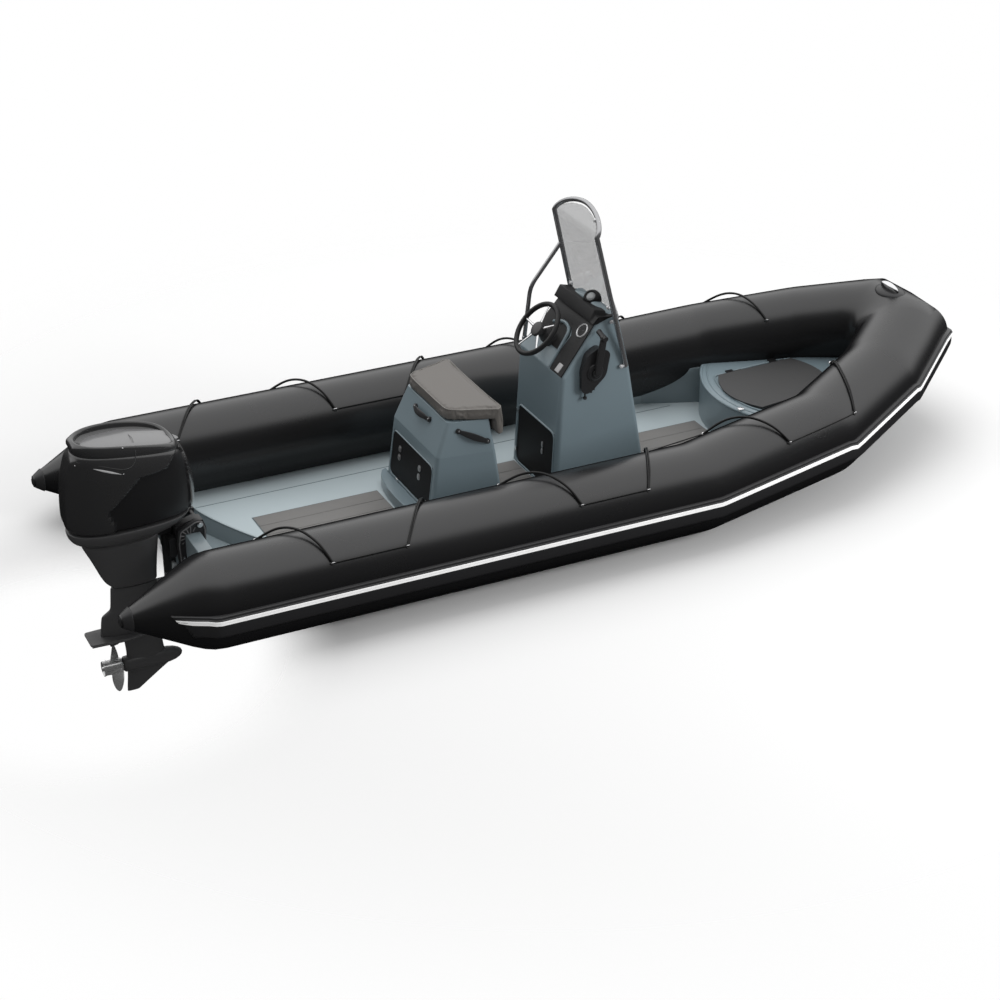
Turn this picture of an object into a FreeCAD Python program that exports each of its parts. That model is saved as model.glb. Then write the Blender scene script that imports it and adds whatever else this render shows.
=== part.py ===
import FreeCAD, Part
import math
import os

from FreeCAD import Rotation, Vector

# Rigid inflatable boat with a helm console and one outboard motor.
# Millimetres. Stations (X) count forward from the tips of the stern cones, heights (Z) count up
# from the axis of the stern tubes and port is +Y. Every solid is moved at the end, so that the
# origin lies amidships on the centreline, at the waterline.

# ---- driving dimensions -------------------------------------------------------------------
ORIGIN_STATION = 2900.0       # amidships
AXIS_ABOVE_WATER = 285.0      # stern tube axis above the waterline

TUBE_RADIUS = 270.0
TUBE_HALF_SPACING = 888.0     # centreline of the boat to the axis of a side tube
CONE_LENGTH = 450.0
CONE_TIP_RADIUS = 34.0
CAP_LENGTH = 85.0
CAP_WALL = 5.0
STRAIGHT_LENGTH = 3067.0      # cone base to the first bow bend
FIRST_BEND = CONE_LENGTH + STRAIGHT_LENGTH
BOW_RUNS = [                  # forward, inward, upward: one straight run of the bow tube each
    (974.0, 143.0, 87.0),
    (603.0, 280.0, 119.0),
    (401.0, 309.0, 102.0),
]

STRAKE_HEIGHT = 130.0
STRAKE_PROUD = 26.0
STRAKE_DROP = 10.0            # middle of the strake below the tube axis
STRIPE_HEIGHT = 26.0
STRIPE_DEPTH = 8.0
STRIPE_RISE = 20.0            # middle of the stripe above the tube axis

TRANSOM_AFT_STATION = 610.0
TRANSOM_THICKNESS = 90.0
TRANSOM_FORE_STATION = TRANSOM_AFT_STATION + TRANSOM_THICKNESS
TRANSOM_TOP = 0.0

DECK_HEIGHT = -200.0
DECK_THICKNESS = 20.0
WELL_RADIUS = 700.0
WELL_FRONT_STATION = 1100.0
WELL_FLOOR_HEIGHT = -290.0
WELL_HALF_WIDTH = 530.0
LINER_WALL = 12.0

HULL_SECTIONS = [             # station, keel height, chine half breadth, chine height
    (TRANSOM_FORE_STATION, -560.0, 740.0, -255.0),
    (FIRST_BEND - 117.0, -560.0, 740.0, -255.0),
    (FIRST_BEND + 483.0, -545.0, 720.0, -235.0),
    (FIRST_BEND + 983.0, -480.0, 625.0, -175.0),
    (FIRST_BEND + 1383.0, -370.0, 455.0, -100.0),
    (FIRST_BEND + 1683.0, -215.0, 300.0, -42.0),
    (FIRST_BEND + 1883.0, -70.0, 175.0, 0.0),
    (FIRST_BEND + 1963.0, 15.0, 100.0, 28.0),
]
CHINE_FLAT = 38.0
SOLE_EDGE = [                 # station and half breadth of the open space above the sole
    (FIRST_BEND - 117.0, 900.0),
    (FIRST_BEND - 116.0, 700.0),
    (FIRST_BEND + 483.0, 620.0),
    (FIRST_BEND + 983.0, 420.0),
    (FIRST_BEND + 1433.0, 125.0),
]
RAIL_SHARES = (0.36, 0.69)    # place of each spray rail between keel and chine
RAIL_WIDTH = 26.0

PAD_HALF_WIDTH = 240.0
PAD_THICKNESS = 4.0
PAD_AFT_STATION = 1140.0
PAD_SEAM = 4.0

LOCKER_FRONT_STATION = FIRST_BEND + 683.0  # foot of the bulkhead on the centreline
LOCKER_ARC_RADIUS = 760.0
LOCKER_WALL = 14.0
LOCKER_TOP_HEIGHT = 55.0       # upper face at the bulkhead
LOCKER_TOP_RISE = 0.055        # rise per unit of length towards the bow
LOCKER_LENGTH = 1220.0
LID_AFT_STATION = LOCKER_FRONT_STATION + 172.0
LID_FORE_STATION = LOCKER_FRONT_STATION + 705.0
LID_AFT_MARGIN = 224.5         # from the lid's corners to the side tubes
LID_FORE_MARGIN = 55.0
LID_AFT_BULGE = 88.0
LID_FORE_BULGE = 62.0
LID_THICKNESS = 12.0
LID_LIFT = 5.0                 # clear height between lid and rim
LID_LAP = 28.0                 # lid beyond its opening
LID_HINGE_PLACES = (120.0, 440.0)
LID_LEAF_REACH = 45.0

CONSOLE_WALL = 12.0
CONSOLE_LEVELS = [             # height, aft station, fore station, half width
    (-200.0, 2889.0, 3530.0, 293.0),
    (575.0, 2930.0, 3392.0, 287.0),
    (861.0, 3179.0, 3341.0, 239.0),
    (895.0, 3192.0, 3335.0, 236.0),
]
DASH_PANEL_THICKNESS = 6.0
SEAT_WALL = 12.0
SEAT_LEVELS = [
    (-200.0, 2040.0, 2520.0, 330.0, 382.0),
    (245.0, 2098.0, 2458.0, 324.0, 375.0),
    (445.0, 2182.0, 2430.0, 295.0, 350.0),
]

PLINTH_AFT_STATION = 1890.0
PLINTH_HEIGHT = 75.0
CUSHION_TOP = 530.0
CUSHION_PLAN = [(2163.0, 318.0), (2512.0, 402.0)]
CUSHION_LIP_DEPTH = 105.0
CUSHION_LIP_THICKNESS = 66.0

DOOR_THICKNESS = 12.0
DOOR_GAP = 5.0
SEAT_DOOR = (-285.0, 285.0, -105.0, 165.0)      # starboard, port, low and high edge
CONSOLE_DOOR = (-242.0, 232.0, -185.0, 190.0)
HINGE_RADIUS = 5.0
HINGE_LENGTH = 50.0
HINGE_LEAF_REACH = 24.0
SEAT_GAP = 0.3                 # clear space left between a moving or soft piece and its seat

WHEEL_CENTRE = (2935.0, 50.0, 765.0)
WHEEL_RADIUS = 175.0
WHEEL_RIM_RADIUS = 13.0
WHEEL_HUB_RADIUS = 34.0
WHEEL_HUB_DEPTH = 44.0
WHEEL_SPOKES = 5
WHEEL_SPOKE_RADIUS = 7.0
WHEEL_STAND_OFF = 150.0        # wheel's plane from the foot of the helm hub
HELM_RADIUS = 52.0
GAUGE_PLACE = (300.0, -178.0)  # up the dash and to port
GAUGE_RADIUS = 40.0
COMPASS_PLACE = (3262.0, -20.0)
COMPASS_RADIUS = 46.0
COMPASS_HEIGHT = 34.0

HOOD_OUTLINE = [(3150.0, 868.0), (3192.0, 935.0), (3255.0, 918.0), (3262.0, 895.0),
                (3192.0, 895.0), (3179.0, 861.0)]
HOOD_OVERHANG = 12.0
DASH_MARGIN = 8.0              # bare edge at the sides of the black panel
DASH_END_MARGINS = (4.0, 6.0)  # the same at its foot and its head
DASH_STEP = 235.0              # up the slope, where the panel widens to full width
DASH_COLUMN_EDGE = (-115.0, -80.0)   # port edge of its starboard column, at foot and step
GAUGE_RIM_HEIGHT = 6.0
GAUGE_FACE_DEPTH = 2.0         # face of the dial above the panel

THROTTLE_OUTLINE = [(3060.0, 470.0), (3095.0, 455.0), (3215.0, 560.0), (3235.0, 700.0),
                    (3165.0, 745.0), (3085.0, 700.0), (3048.0, 600.0)]
THROTTLE_PROUD = 42.0          # housing out from the console's side
LEVER_PIVOT = (3150.0, 610.0)
LEVER_BOSS = (34.0, 28.0)      # radius and length
LEVER_OUTLINE = [(3130.0, 600.0), (3175.0, 600.0), (3190.0, 800.0), (3160.0, 800.0)]
LEVER_LAYER = (54.0, 72.0)     # arm's inner and outer face, out from the console's side
LEVER_GRIP = (3174.0, 800.0, 17.0)   # station, height and radius
LEVER_GRIP_SPAN = (78.0, -14.0)      # its ends, out from the console's side
LEVER_GRIP_RISE = 15.0

HOOP_TUBE_RADIUS = 12.5
HOOP_FOOT = (3376.0, 296.0, 585.0)
HOOP_SHOULDER = (3166.0, 252.0, 1369.0)
HOOP_TOP_HEIGHT = 1560.0
HOOP_CORNER = 150.0
HOOP_PAD_RADIUS = 16.0
SCREEN_THICKNESS = 5.0
SCREEN_LIFT = 3.0              # low edge above the console
SCREEN_CLEARANCE = 6.0         # between the screen and the hoop's tube
SCREEN_WING_AFT = 40.0         # screen's edges aft of the hoop's line
SCREEN_WING_FORE = 60.0        # and its middle pane ahead of it
SCREEN_WING_BEVEL = 60.0
SCREEN_CROWN = [(1370.0, None), (1545.0, 160.0)]   # heights and half widths of its cut corners

EYE_RADIUS = 26.0
EYE_BORE_RADIUS = 12.0
EYE_THICKNESS = 16.0
EYE_REACH = 32.0
STERN_EYE_HEIGHT = -300.0
STERN_EYE_HALF_SPACING = 420.0

# the motor: stations and heights at rest, plan outlines as (station, half breadth)
COWL_LEVELS = [                # height, aft, fore, half width, corner
    (175.0, -28.0, 640.0, 235.0, 120.0),
    (420.0, -40.0, 668.0, 262.0, 130.0),
    (600.0, -15.0, 655.0, 240.0, 130.0),
    (712.0, 55.0, 560.0, 170.0, 110.0),
]
SKIRT_LEVELS = [
    (20.0, 90.0, 400.0, 150.0, 95.0),
    (100.0, 10.0, 560.0, 205.0, 110.0),
    (172.0, -25.0, 636.0, 232.0, 120.0),
]
MIDSECTION_LEVELS = [
    (-470.0, 178.0, 440.0, 50.0, 30.0),
    (-300.0, 176.0, 460.0, 62.0, 40.0),
    (20.0, 95.0, 480.0, 140.0, 80.0),
]
COWL_WALL = 8.0
ENGINE = (140.0, 360.0, 100.0, 560.0)      # aft, fore, half width, top
UPPER_LEG = [(178.0, 14.0), (250.0, 40.0), (400.0, 44.0), (455.0, 12.0)]
LOWER_LEG = [(228.0, 10.0), (280.0, 36.0), (400.0, 40.0), (462.0, 12.0)]
SHAFT_HEIGHT = -837.0
TORPEDO = (480.0, 48.0)        # where its nose begins, and its radius
TORPEDO_NOSE = (95.0, 6.0)     # length and tip radius
SKEG_TIP = (226.0, 305.0, -1027.0)   # aft, fore, height
SKEG_ROOT = (240.0, 500.0)
SKEG_HALF = 7.0
VENTILATION_PLATE = [(20.0, 80.0), (240.0, 92.0), (440.0, 56.0)]
PLATE_HEIGHTS = (-628.0, -612.0)
PROPELLER_FORE_STATION = 214.0
HUB = (120.0, 40.0)            # aft end and radius
SPINNER = (36.0, 12.0)         # length and tip radius
BLADE_OUTLINE = [(-38.0, 20.0), (30.0, 20.0), (52.0, 80.0), (46.0, 130.0), (10.0, 155.0),
                 (-32.0, 140.0), (-52.0, 90.0)]     # along the chord, out from the shaft
BLADE_STATION = 170.0
BLADE_THICKNESS = 5.0
BLADE_PITCH = 58.0
BLADES = 3

TILT_AXIS = (TRANSOM_FORE_STATION, TRANSOM_TOP + 48.0)   # station and height of the tilt tube
TILT_TUBE_RADIUS = 14.0
STEER_STATION = TRANSOM_AFT_STATION - 80.0
STEER_TUBE_RADIUS = 24.0
STEER_TUBE_LOW = -330.0
STEER_TUBE_HIGH = -30.0
TILT_TUBE_REACH = 140.0        # half its length
CLAMP_CHEEKS = (104.0, 132.0)  # inner and outer face of each clamp plate from the centreline
SWIVEL_CHEEKS = (40.0, 96.0)
SWIVEL_LOW = -150.0
TILT_BORE_GAP = 0.5
YOKE_PIN_RADIUS = 11.0
STEER_BORE_GAP = 0.5
YOKE_HALF = 34.0
YOKE_AFT = 430.0
YOKE_REACH = 30.0              # arms ahead of the steering pin
YOKE_ARMS = [(STEER_TUBE_LOW - 34.0, STEER_TUBE_LOW - 4.0), (-22.0, 12.0)]   # low and high face

ROPE_RADIUS = 5.0
ROPE_LIFT = ROPE_RADIUS + 3.3  # rope's middle off the tube where an eye carries it
ROPE_BEND_LIFT = 15.0          # the same where it crosses a bend of the tube
ROPE_EYE_RADIUS = 9.0
ROPE_EYE_BEND = 14.0
ROPE_INBOARD = 139.0           # degrees round the tube from its outboard side
ROPE_OUTBOARD = 180.0 - ROPE_INBOARD
ROPE_EYES = [                  # station on the tube's axis, True where the eye is outboard
    (845.0, False), (1135.0, True), (1575.0, True), (1860.0, False),
    (2330.0, False), (2650.0, True), (3080.0, True), (3290.0, False),
    (3757.0, False), (4070.0, True), (4545.0, True), (4905.0, False),
]
ARCHED_PASS = [                # share of the way, degrees swept, height above the tube
    (0.22, 12.0, 26.0), (0.45, 27.0, 36.0), (0.65, 46.0, 34.0), (0.82, 67.0, 24.0),
    (0.93, 84.0, 15.0)]
CLOSE_PASS = [
    (0.2, 20.0, 13.0), (0.4, 39.0, 13.0), (0.6, 57.0, 15.0), (0.78, 72.0, 22.0),
    (0.9, 86.0, 20.0)]

HANDLE_RADIUS = 9.0
HANDLE_PROUD = 30.0
SEAT_HANDLE_SPAN = 200.0       # handle across the aft slope of the seat base
SEAT_HANDLE_HEIGHT = 390.0
SIDE_HANDLE = ((2240.0, 388.0), (2405.0, 312.0))   # station and height of its two feet

BRACE_TOP_HEIGHT = 1195.0      # where the helmsman's rail leaves the hoop
BRACE_ELBOW = (2996.0, 264.0, 948.0)
BRACE_FOOT = (2976.0, 303.0, 600.0)
BRACE_BEND = 90.0
BRACE_TUBE_RADIUS = 11.0

HANDLE_BASE = (70.0, 50.0, 95.0, 60.0, 6.0)   # aft, fore, half width, deep, proud of the nose
BOW_GRIP = (70.0, 56.0, 52.0)  # half width at its feet and its bar, height
BOW_GRIP_RADIUS = 9.0
BOW_GRIP_BEND = 24.0
BOW_GRIP_SETBACK = 20.0

OUT_FOLDER = "parts"
FAR = 4000.0                   # half a side of the boxes used to trim

# ---- helpers ------------------------------------------------------------------------------

os.makedirs(OUT_FOLDER, exist_ok=True)


def box(x0, x1, y0, y1, z0, z1):
    return Part.makeBox(x1 - x0, y1 - y0, z1 - z0, Vector(x0, y0, z0))


def rod(start, end, radius):
    start = Vector(*start)
    end = Vector(*end)
    return Part.makeCylinder(radius, (end - start).Length, start, end - start)


def polygon_face(points):
    wire = Part.makePolygon([Vector(*p) for p in points] + [Vector(*points[0])])
    return Part.Face(wire)


def side_prism(outline, y0, y1):
    """Outline in X, Z pushed from y0 to y1."""
    return polygon_face([(x, y0, z) for x, z in outline]).extrude(Vector(0, y1 - y0, 0))


def plan_prism(outline, z0, z1):
    """Outline in X, Y pushed from z0 up to z1."""
    return polygon_face([(x, y, z0) for x, y in outline]).extrude(Vector(0, 0, z1 - z0))


def front_prism(outline, x0, x1):
    """Outline in Y, Z pushed from x0 to x1."""
    return polygon_face([(x0, y, z) for y, z in outline]).extrude(Vector(x1 - x0, 0, 0))


def both_sides(points):
    """A half outline in (X, Y) with Y positive, closed by its own mirror image."""
    return points + [(x, -y) for x, y in reversed(points)]


def stack(levels):
    """Straight-sided solid through level outlines: a list of (height, [(x, y), ...])."""
    wires = []
    for height, outline in levels:
        corners = [Vector(x, y, height) for x, y in outline]
        wires.append(Part.makePolygon(corners + [corners[0]]))
    return Part.makeLoft(wires, True, True)


def mirrored(shape):
    return shape.mirror(Vector(0, 0, 0), Vector(0, 1, 0))


def joined(shapes):
    result = shapes[0]
    for shape in shapes[1:]:
        result = result.fuse(shape)
    return result.removeSplitter()


def beyond(point, normal):
    """Everything on the far side of the plane through point, as a large block."""
    block = Part.makeBox(2 * FAR, 2 * FAR, 2 * FAR, Vector(-FAR, -FAR, 0))
    block.Placement = FreeCAD.Placement(point, Rotation(Vector(0, 0, 1), normal))
    return block


def save(name, *shapes):
    """Write one node: its solids, moved from stations to the boat's own origin."""
    solids = []
    for shape in shapes:
        solids.extend(shape.Solids)
    moved = [s.translated(Vector(-ORIGIN_STATION, 0, AXIS_ABOVE_WATER)) for s in solids]
    whole = moved[0] if len(moved) == 1 else Part.makeCompound(moved)
    whole.exportStep(os.path.join(OUT_FOLDER, name + ".step"))


# ---- the line of the tubes ----------------------------------------------------------------


def tube_line():
    """Axis of the port tube: cone base, three kinks and the corner of the nose."""
    points = [Vector(CONE_LENGTH, TUBE_HALF_SPACING, 0)]
    points.append(points[0] + Vector(STRAIGHT_LENGTH, 0, 0))
    for forward, inward, upward in BOW_RUNS:
        points.append(points[-1] + Vector(forward, -inward, upward))
    return points


TUBE_LINE = tube_line()
NOSE_CORNER = TUBE_LINE[-1]
NOSE_MIRROR = Vector(NOSE_CORNER.x, -NOSE_CORNER.y, NOSE_CORNER.z)


def axis_at(station):
    """Half breadth and height of the tube axis at a station."""
    for start, end in zip(TUBE_LINE, TUBE_LINE[1:]):
        if station <= end.x:
            break
    share = min(1.0, (station - start.x) / (end.x - start.x))
    return start.y + share * (end.y - start.y), start.z + share * (end.z - start.z)


def bend_normals():
    """Normal of the mitre plane at each point of the line, looking forward."""
    points = TUBE_LINE + [NOSE_MIRROR]
    runs = [(b - a).normalize() for a, b in zip(points, points[1:])]
    normals = [runs[0]]
    for before, after in zip(runs, runs[1:]):
        normals.append((before + after).normalize())
    return runs, normals


RUNS, MITRES = bend_normals()


def mitred_run(index, make):
    """One straight run of make(start, direction, length), trimmed at its two mitre planes."""
    start, direction = TUBE_LINE[index], RUNS[index]
    length = (TUBE_LINE[index + 1] - start).Length
    spare = 2 * TUBE_RADIUS
    before = 0.0 if index == 0 else spare
    piece = make(start - direction * before, direction, length + before + spare)
    if index > 0:
        piece = piece.cut(beyond(start, MITRES[index] * -1))
    return piece.cut(beyond(TUBE_LINE[index + 1], MITRES[index + 1]))


def side_tube():
    """Port tube: tapered stern cone, long straight run and the kinked bow runs."""
    cone = Part.makeCone(CONE_TIP_RADIUS, TUBE_RADIUS, CONE_LENGTH,
                         Vector(0, TUBE_HALF_SPACING, 0), Vector(1, 0, 0))

    def cylinder(start, direction, length):
        return Part.makeCylinder(TUBE_RADIUS, length, start, direction)

    runs = [mitred_run(i, cylinder) for i in range(len(RUNS) - 1)]
    whole = joined([cone] + runs)
    return whole.cut(beyond(Vector(0, 0, 0), Vector(0, -1, 0)))


def nose_tube():
    """Short transverse piece that closes the two side tubes at the bow."""
    spare = 2 * TUBE_RADIUS
    piece = Part.makeCylinder(TUBE_RADIUS, 2 * NOSE_CORNER.y + 2 * spare,
                              NOSE_CORNER + Vector(0, spare, 0), Vector(0, -1, 0))
    normal = MITRES[len(RUNS) - 1]
    piece = piece.cut(beyond(NOSE_CORNER, normal * -1))
    return piece.cut(beyond(NOSE_MIRROR, Vector(-normal.x, normal.y, -normal.z)))


def run_profile(outline):
    """Maker of a bar that keeps an (outward, upward) outline beside the tube axis."""

    def make(start, direction, length):
        outward = direction.cross(Vector(0, 0, 1)).normalize() * -1
        upward = outward.cross(direction).normalize() * -1
        corners = [start + outward * o + upward * u for o, u in outline]
        face = Part.Face(Part.makePolygon(corners + [corners[0]]))
        return face.extrude(direction * length)

    return make


def along_tube(outline):
    """Port half of a band that follows the tube from the stern round to the centreline."""
    make = run_profile(outline)
    runs = [mitred_run(i, make) for i in range(len(RUNS) - 1)]
    spare = 2 * TUBE_RADIUS
    direction = Vector(0, -1, 0)
    nose = make(NOSE_CORNER - direction * spare, direction, NOSE_CORNER.y + spare)
    nose = nose.cut(beyond(NOSE_CORNER, MITRES[len(RUNS) - 1] * -1))
    band = joined(runs + [nose])
    return band.cut(beyond(Vector(0, 0, 0), Vector(0, -1, 0)))


PORT_TUBE = side_tube()
STARBOARD_TUBE = mirrored(PORT_TUBE)
NOSE_TUBE = nose_tube()
TUBES = [PORT_TUBE, STARBOARD_TUBE, NOSE_TUBE]


def clear_of_tubes(shape):
    for tube in TUBES:
        shape = shape.cut(tube)
    return shape


def on_tube(station, degrees, height):
    """Point beside the port tube: angle from outboard through the top, height off the skin."""
    index = 0
    while index < len(RUNS) - 2 and station > TUBE_LINE[index + 1].x:
        index += 1
    start, direction = TUBE_LINE[index], RUNS[index]
    centre = start + direction * ((station - start.x) / direction.x)
    outward = direction.cross(Vector(0, 0, 1)).normalize() * -1
    upward = outward.cross(direction).normalize() * -1
    angle = math.radians(degrees)
    return centre + (outward * math.cos(angle) + upward * math.sin(angle)) * (TUBE_RADIUS + height)


def rope_route(arched_first):
    """Points of one lifeline with the bend radius at each, None where the runs decide it."""
    route = []
    arched = arched_first
    for (station, outboard), following in zip(ROPE_EYES, ROPE_EYES[1:] + [None]):
        angle = ROPE_OUTBOARD if outboard else ROPE_INBOARD
        route.append((on_tube(station, angle, ROPE_LIFT), ROPE_EYE_BEND))
        if following is None:
            continue
        if following[1] == outboard:
            bends = [p.x for p in TUBE_LINE if outboard and station < p.x < following[0]]
            route.extend((on_tube(x, angle, ROPE_BEND_LIFT), None) for x in bends)
            continue
        sign = 1 if outboard else -1
        for share, swept, height in (ARCHED_PASS if arched else CLOSE_PASS):
            at = station + share * (following[0] - station)
            route.append((on_tube(at, angle + sign * swept, height), None))
        arched = not arched
    return route


def rope(route, radius):
    """Round rope along a route: straight runs joined by tangent arcs."""
    points = [p for p, bend in route]
    edges = []
    last = points[0]
    for index in range(1, len(points) - 1):
        before, corner, after = points[index - 1:index + 2]
        inward, onward = before - corner, after - corner
        shorter = min(inward.Length, onward.Length)
        inward.normalize()
        onward.normalize()
        half = inward.getAngle(onward) / 2
        bend = route[index][1] or 0.45 * shorter * math.tan(half)
        reach = bend / math.tan(half)
        start, end = corner + inward * reach, corner + onward * reach
        across = (inward + onward).normalize()
        middle = corner + across * (bend / math.sin(half) - bend)
        edges.append(Part.LineSegment(last, start).toShape())
        edges.append(Part.Arc(start, middle, end).toShape())
        last = end
    edges.append(Part.LineSegment(last, points[-1]).toShape())
    path = Part.Wire(edges)
    ring = Part.Wire(Part.makeCircle(radius, points[0], points[1] - points[0]))
    return path.makePipeShell([ring], True, False)


def make_lifelines():
    """A lifeline on each side tube, woven over its crown between small eyes."""
    eyes = []
    for name, arched_first in (("port", False), ("starboard", True)):
        route = rope_route(arched_first)
        line = rope(route, ROPE_RADIUS)
        room = rope(route, ROPE_RADIUS + SEAT_GAP)
        posts = []
        for station, outboard in ROPE_EYES:
            angle = ROPE_OUTBOARD if outboard else ROPE_INBOARD
            root, tip = (on_tube(station, angle, h) for h in (-ROPE_EYE_RADIUS, ROPE_LIFT - 2.0))
            post = Part.makeCylinder(ROPE_EYE_RADIUS, (tip - root).Length, root, tip - root)
            posts.append(post.cut(PORT_TUBE).cut(room))
        if name == "starboard":
            line, posts = mirrored(line), [mirrored(p) for p in posts]
        save("lifeline_" + name, line)
        eyes.extend(posts)
    save("line_eyes", *eyes)


def make_tubes():
    save("tube_port", PORT_TUBE)
    save("tube_starboard", STARBOARD_TUBE)
    save("tube_nose", NOSE_TUBE)
    cap = Part.makeCone(CONE_TIP_RADIUS + CAP_WALL,
                        CONE_TIP_RADIUS + CAP_WALL + CAP_LENGTH *
                        (TUBE_RADIUS - CONE_TIP_RADIUS) / CONE_LENGTH,
                        CAP_LENGTH + CAP_WALL, Vector(-CAP_WALL, TUBE_HALF_SPACING, 0),
                        Vector(1, 0, 0))
    cap = cap.cut(PORT_TUBE)
    save("cone_caps", cap, mirrored(cap))


def make_strakes():
    """Rubbing strake round the outside of the tubes with a pale stripe let into it."""
    half = STRAKE_HEIGHT / 2
    face = TUBE_RADIUS + STRAKE_PROUD
    low = -STRAKE_DROP - half
    high = -STRAKE_DROP + half
    chamfer = STRAKE_PROUD / 2
    outline = [(TUBE_RADIUS / 2, low), (face - chamfer, low), (face, low + chamfer),
               (face, high - chamfer), (face - chamfer, high), (TUBE_RADIUS / 2, high)]
    strake = along_tube(outline)
    stripe_low = STRIPE_RISE - STRIPE_HEIGHT / 2
    stripe_high = STRIPE_RISE + STRIPE_HEIGHT / 2
    stripe = along_tube([(face - STRIPE_DEPTH, stripe_low), (face, stripe_low),
                         (face, stripe_high), (face - STRIPE_DEPTH, stripe_high)])
    body = clear_of_tubes(strake).cut(stripe)
    for name, shape in (("strake", body), ("stripe", stripe)):
        save(name + "_port", shape)
        save(name + "_starboard", mirrored(shape))


# ---- hull, transom, deck ------------------------------------------------------------------


def hull_half(station, keel, chine, chine_height):
    """Half section from keel to tube: two spray rails, a chine flat and the topside."""
    shrink = chine / HULL_SECTIONS[0][2]
    knuckle = chine - CHINE_FLAT * shrink
    slope = (chine_height - keel) / knuckle
    half = [(0.0, keel)]
    for share in RAIL_SHARES:
        inner = share * knuckle
        outer = inner + RAIL_WIDTH * shrink
        half.append((inner, keel + slope * inner))
        half.append((outer, keel + slope * inner))
        half.append((outer, keel + slope * outer))
    half.append((knuckle, chine_height))
    half.append((chine, chine_height))
    half.append(axis_at(station))
    return half


def section_points(station, half):
    mirror = [(-y, z) for y, z in reversed(half[1:])]
    return [Vector(station, y, z) for y, z in half + mirror]


def locker_top(station):
    """Upper face of the bow locker on the centreline."""
    return LOCKER_TOP_HEIGHT + LOCKER_TOP_RISE * (station - LOCKER_FRONT_STATION)


def panelled(sections):
    """Solid of flat three-sided panels between successive rings of points."""
    panels = []
    for first, second in zip(sections, sections[1:]):
        count = len(first)
        for i in range(count):
            j = (i + 1) % count
            panels.append(triangle(first[i], first[j], second[j]))
            panels.append(triangle(first[i], second[j], second[i]))
    for ring in (sections[0], sections[-1]):
        panels.append(Part.Face(Part.makePolygon(ring + [ring[0]])))
    shell = Part.makeShell(panels)
    shell.sewShape()
    solid = Part.Solid(shell)
    if solid.Volume < 0:
        solid.reverse()
    return solid.removeSplitter()


def triangle(a, b, c):
    return Part.Face(Part.makePolygon([a, b, c, a]))


def hull_block():
    return panelled([section_points(row[0], hull_half(*row)) for row in HULL_SECTIONS])


def cockpit_void():
    """Everything above the sole between the tubes, narrowing into the bow locker."""
    sole = DECK_HEIGHT - DECK_THICKNESS
    fore = SOLE_EDGE[0][0]
    aft = box(0, fore, -FAR, FAR, sole, FAR)
    return aft.fuse(plan_prism(both_sides(SOLE_EDGE), sole, FAR))


def well_block(radius, low, high):
    centre = WELL_FRONT_STATION - WELL_RADIUS
    fore = TRANSOM_FORE_STATION
    disc = Part.makeCylinder(radius, high - low, Vector(centre, 0, low))
    half = WELL_HALF_WIDTH - (WELL_RADIUS - radius)
    return disc.common(box(fore, FAR, -half, half, low, high))


def above_locker():
    """Everything over the underside of the locker's top, from its bulkhead forward."""
    fore = ORIGIN_STATION + FAR
    aft = LOCKER_FRONT_STATION - 100
    return side_prism([(aft, locker_top(aft) - LOCKER_WALL), (fore, locker_top(fore) - LOCKER_WALL),
                       (fore, FAR), (aft, FAR)], -FAR, FAR)


def make_hull():
    hull = hull_block().cut(cockpit_void()).cut(above_locker())
    hull = hull.cut(box(TRANSOM_FORE_STATION, WELL_FRONT_STATION, -WELL_HALF_WIDTH,
                        WELL_HALF_WIDTH, WELL_FLOOR_HEIGHT - LINER_WALL, FAR))
    hull = clear_of_tubes(hull)
    largest = sorted(hull.Solids, key=lambda s: s.Volume)[-1]
    save("hull", largest)
    return largest


HULL = make_hull()


def make_transom():
    row = HULL_SECTIONS[0]
    half = hull_half(*row)[:-1]
    half.append((axis_at(row[0])[0], TRANSOM_TOP))
    outline = half + [(-y, z) for y, z in reversed(half[1:])]
    board = front_prism(outline, TRANSOM_AFT_STATION, TRANSOM_FORE_STATION)
    board = clear_of_tubes(board)
    save("transom", sorted(board.Solids, key=lambda s: s.Volume)[-1])


def bulkhead_arc(radius):
    """Upright cylinder whose aft-most line is the bulkhead."""
    centre = LOCKER_FRONT_STATION + LOCKER_ARC_RADIUS
    return Part.makeCylinder(radius, 4 * TUBE_RADIUS, Vector(centre, 0, -2 * TUBE_RADIUS))


def make_deck():
    sole = DECK_HEIGHT - DECK_THICKNESS
    fore = TRANSOM_FORE_STATION
    plate = box(fore, LOCKER_FRONT_STATION + LOCKER_ARC_RADIUS, -TUBE_HALF_SPACING,
                TUBE_HALF_SPACING, sole, DECK_HEIGHT)
    plate = plate.cut(well_block(WELL_RADIUS, sole, DECK_HEIGHT))
    plate = plate.cut(bulkhead_arc(LOCKER_ARC_RADIUS))
    plate = clear_of_tubes(plate).cut(HULL)
    plate = sorted(plate.Solids, key=lambda s: s.Volume)[-1]
    save("deck", plate)
    liner = well_block(WELL_RADIUS, WELL_FLOOR_HEIGHT - LINER_WALL, DECK_HEIGHT)
    liner = liner.cut(well_block(WELL_RADIUS - LINER_WALL, WELL_FLOOR_HEIGHT, FAR))
    liner = clear_of_tubes(liner)
    save("motor_well", sorted(liner.Solids, key=lambda s: s.Volume)[-1])


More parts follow.
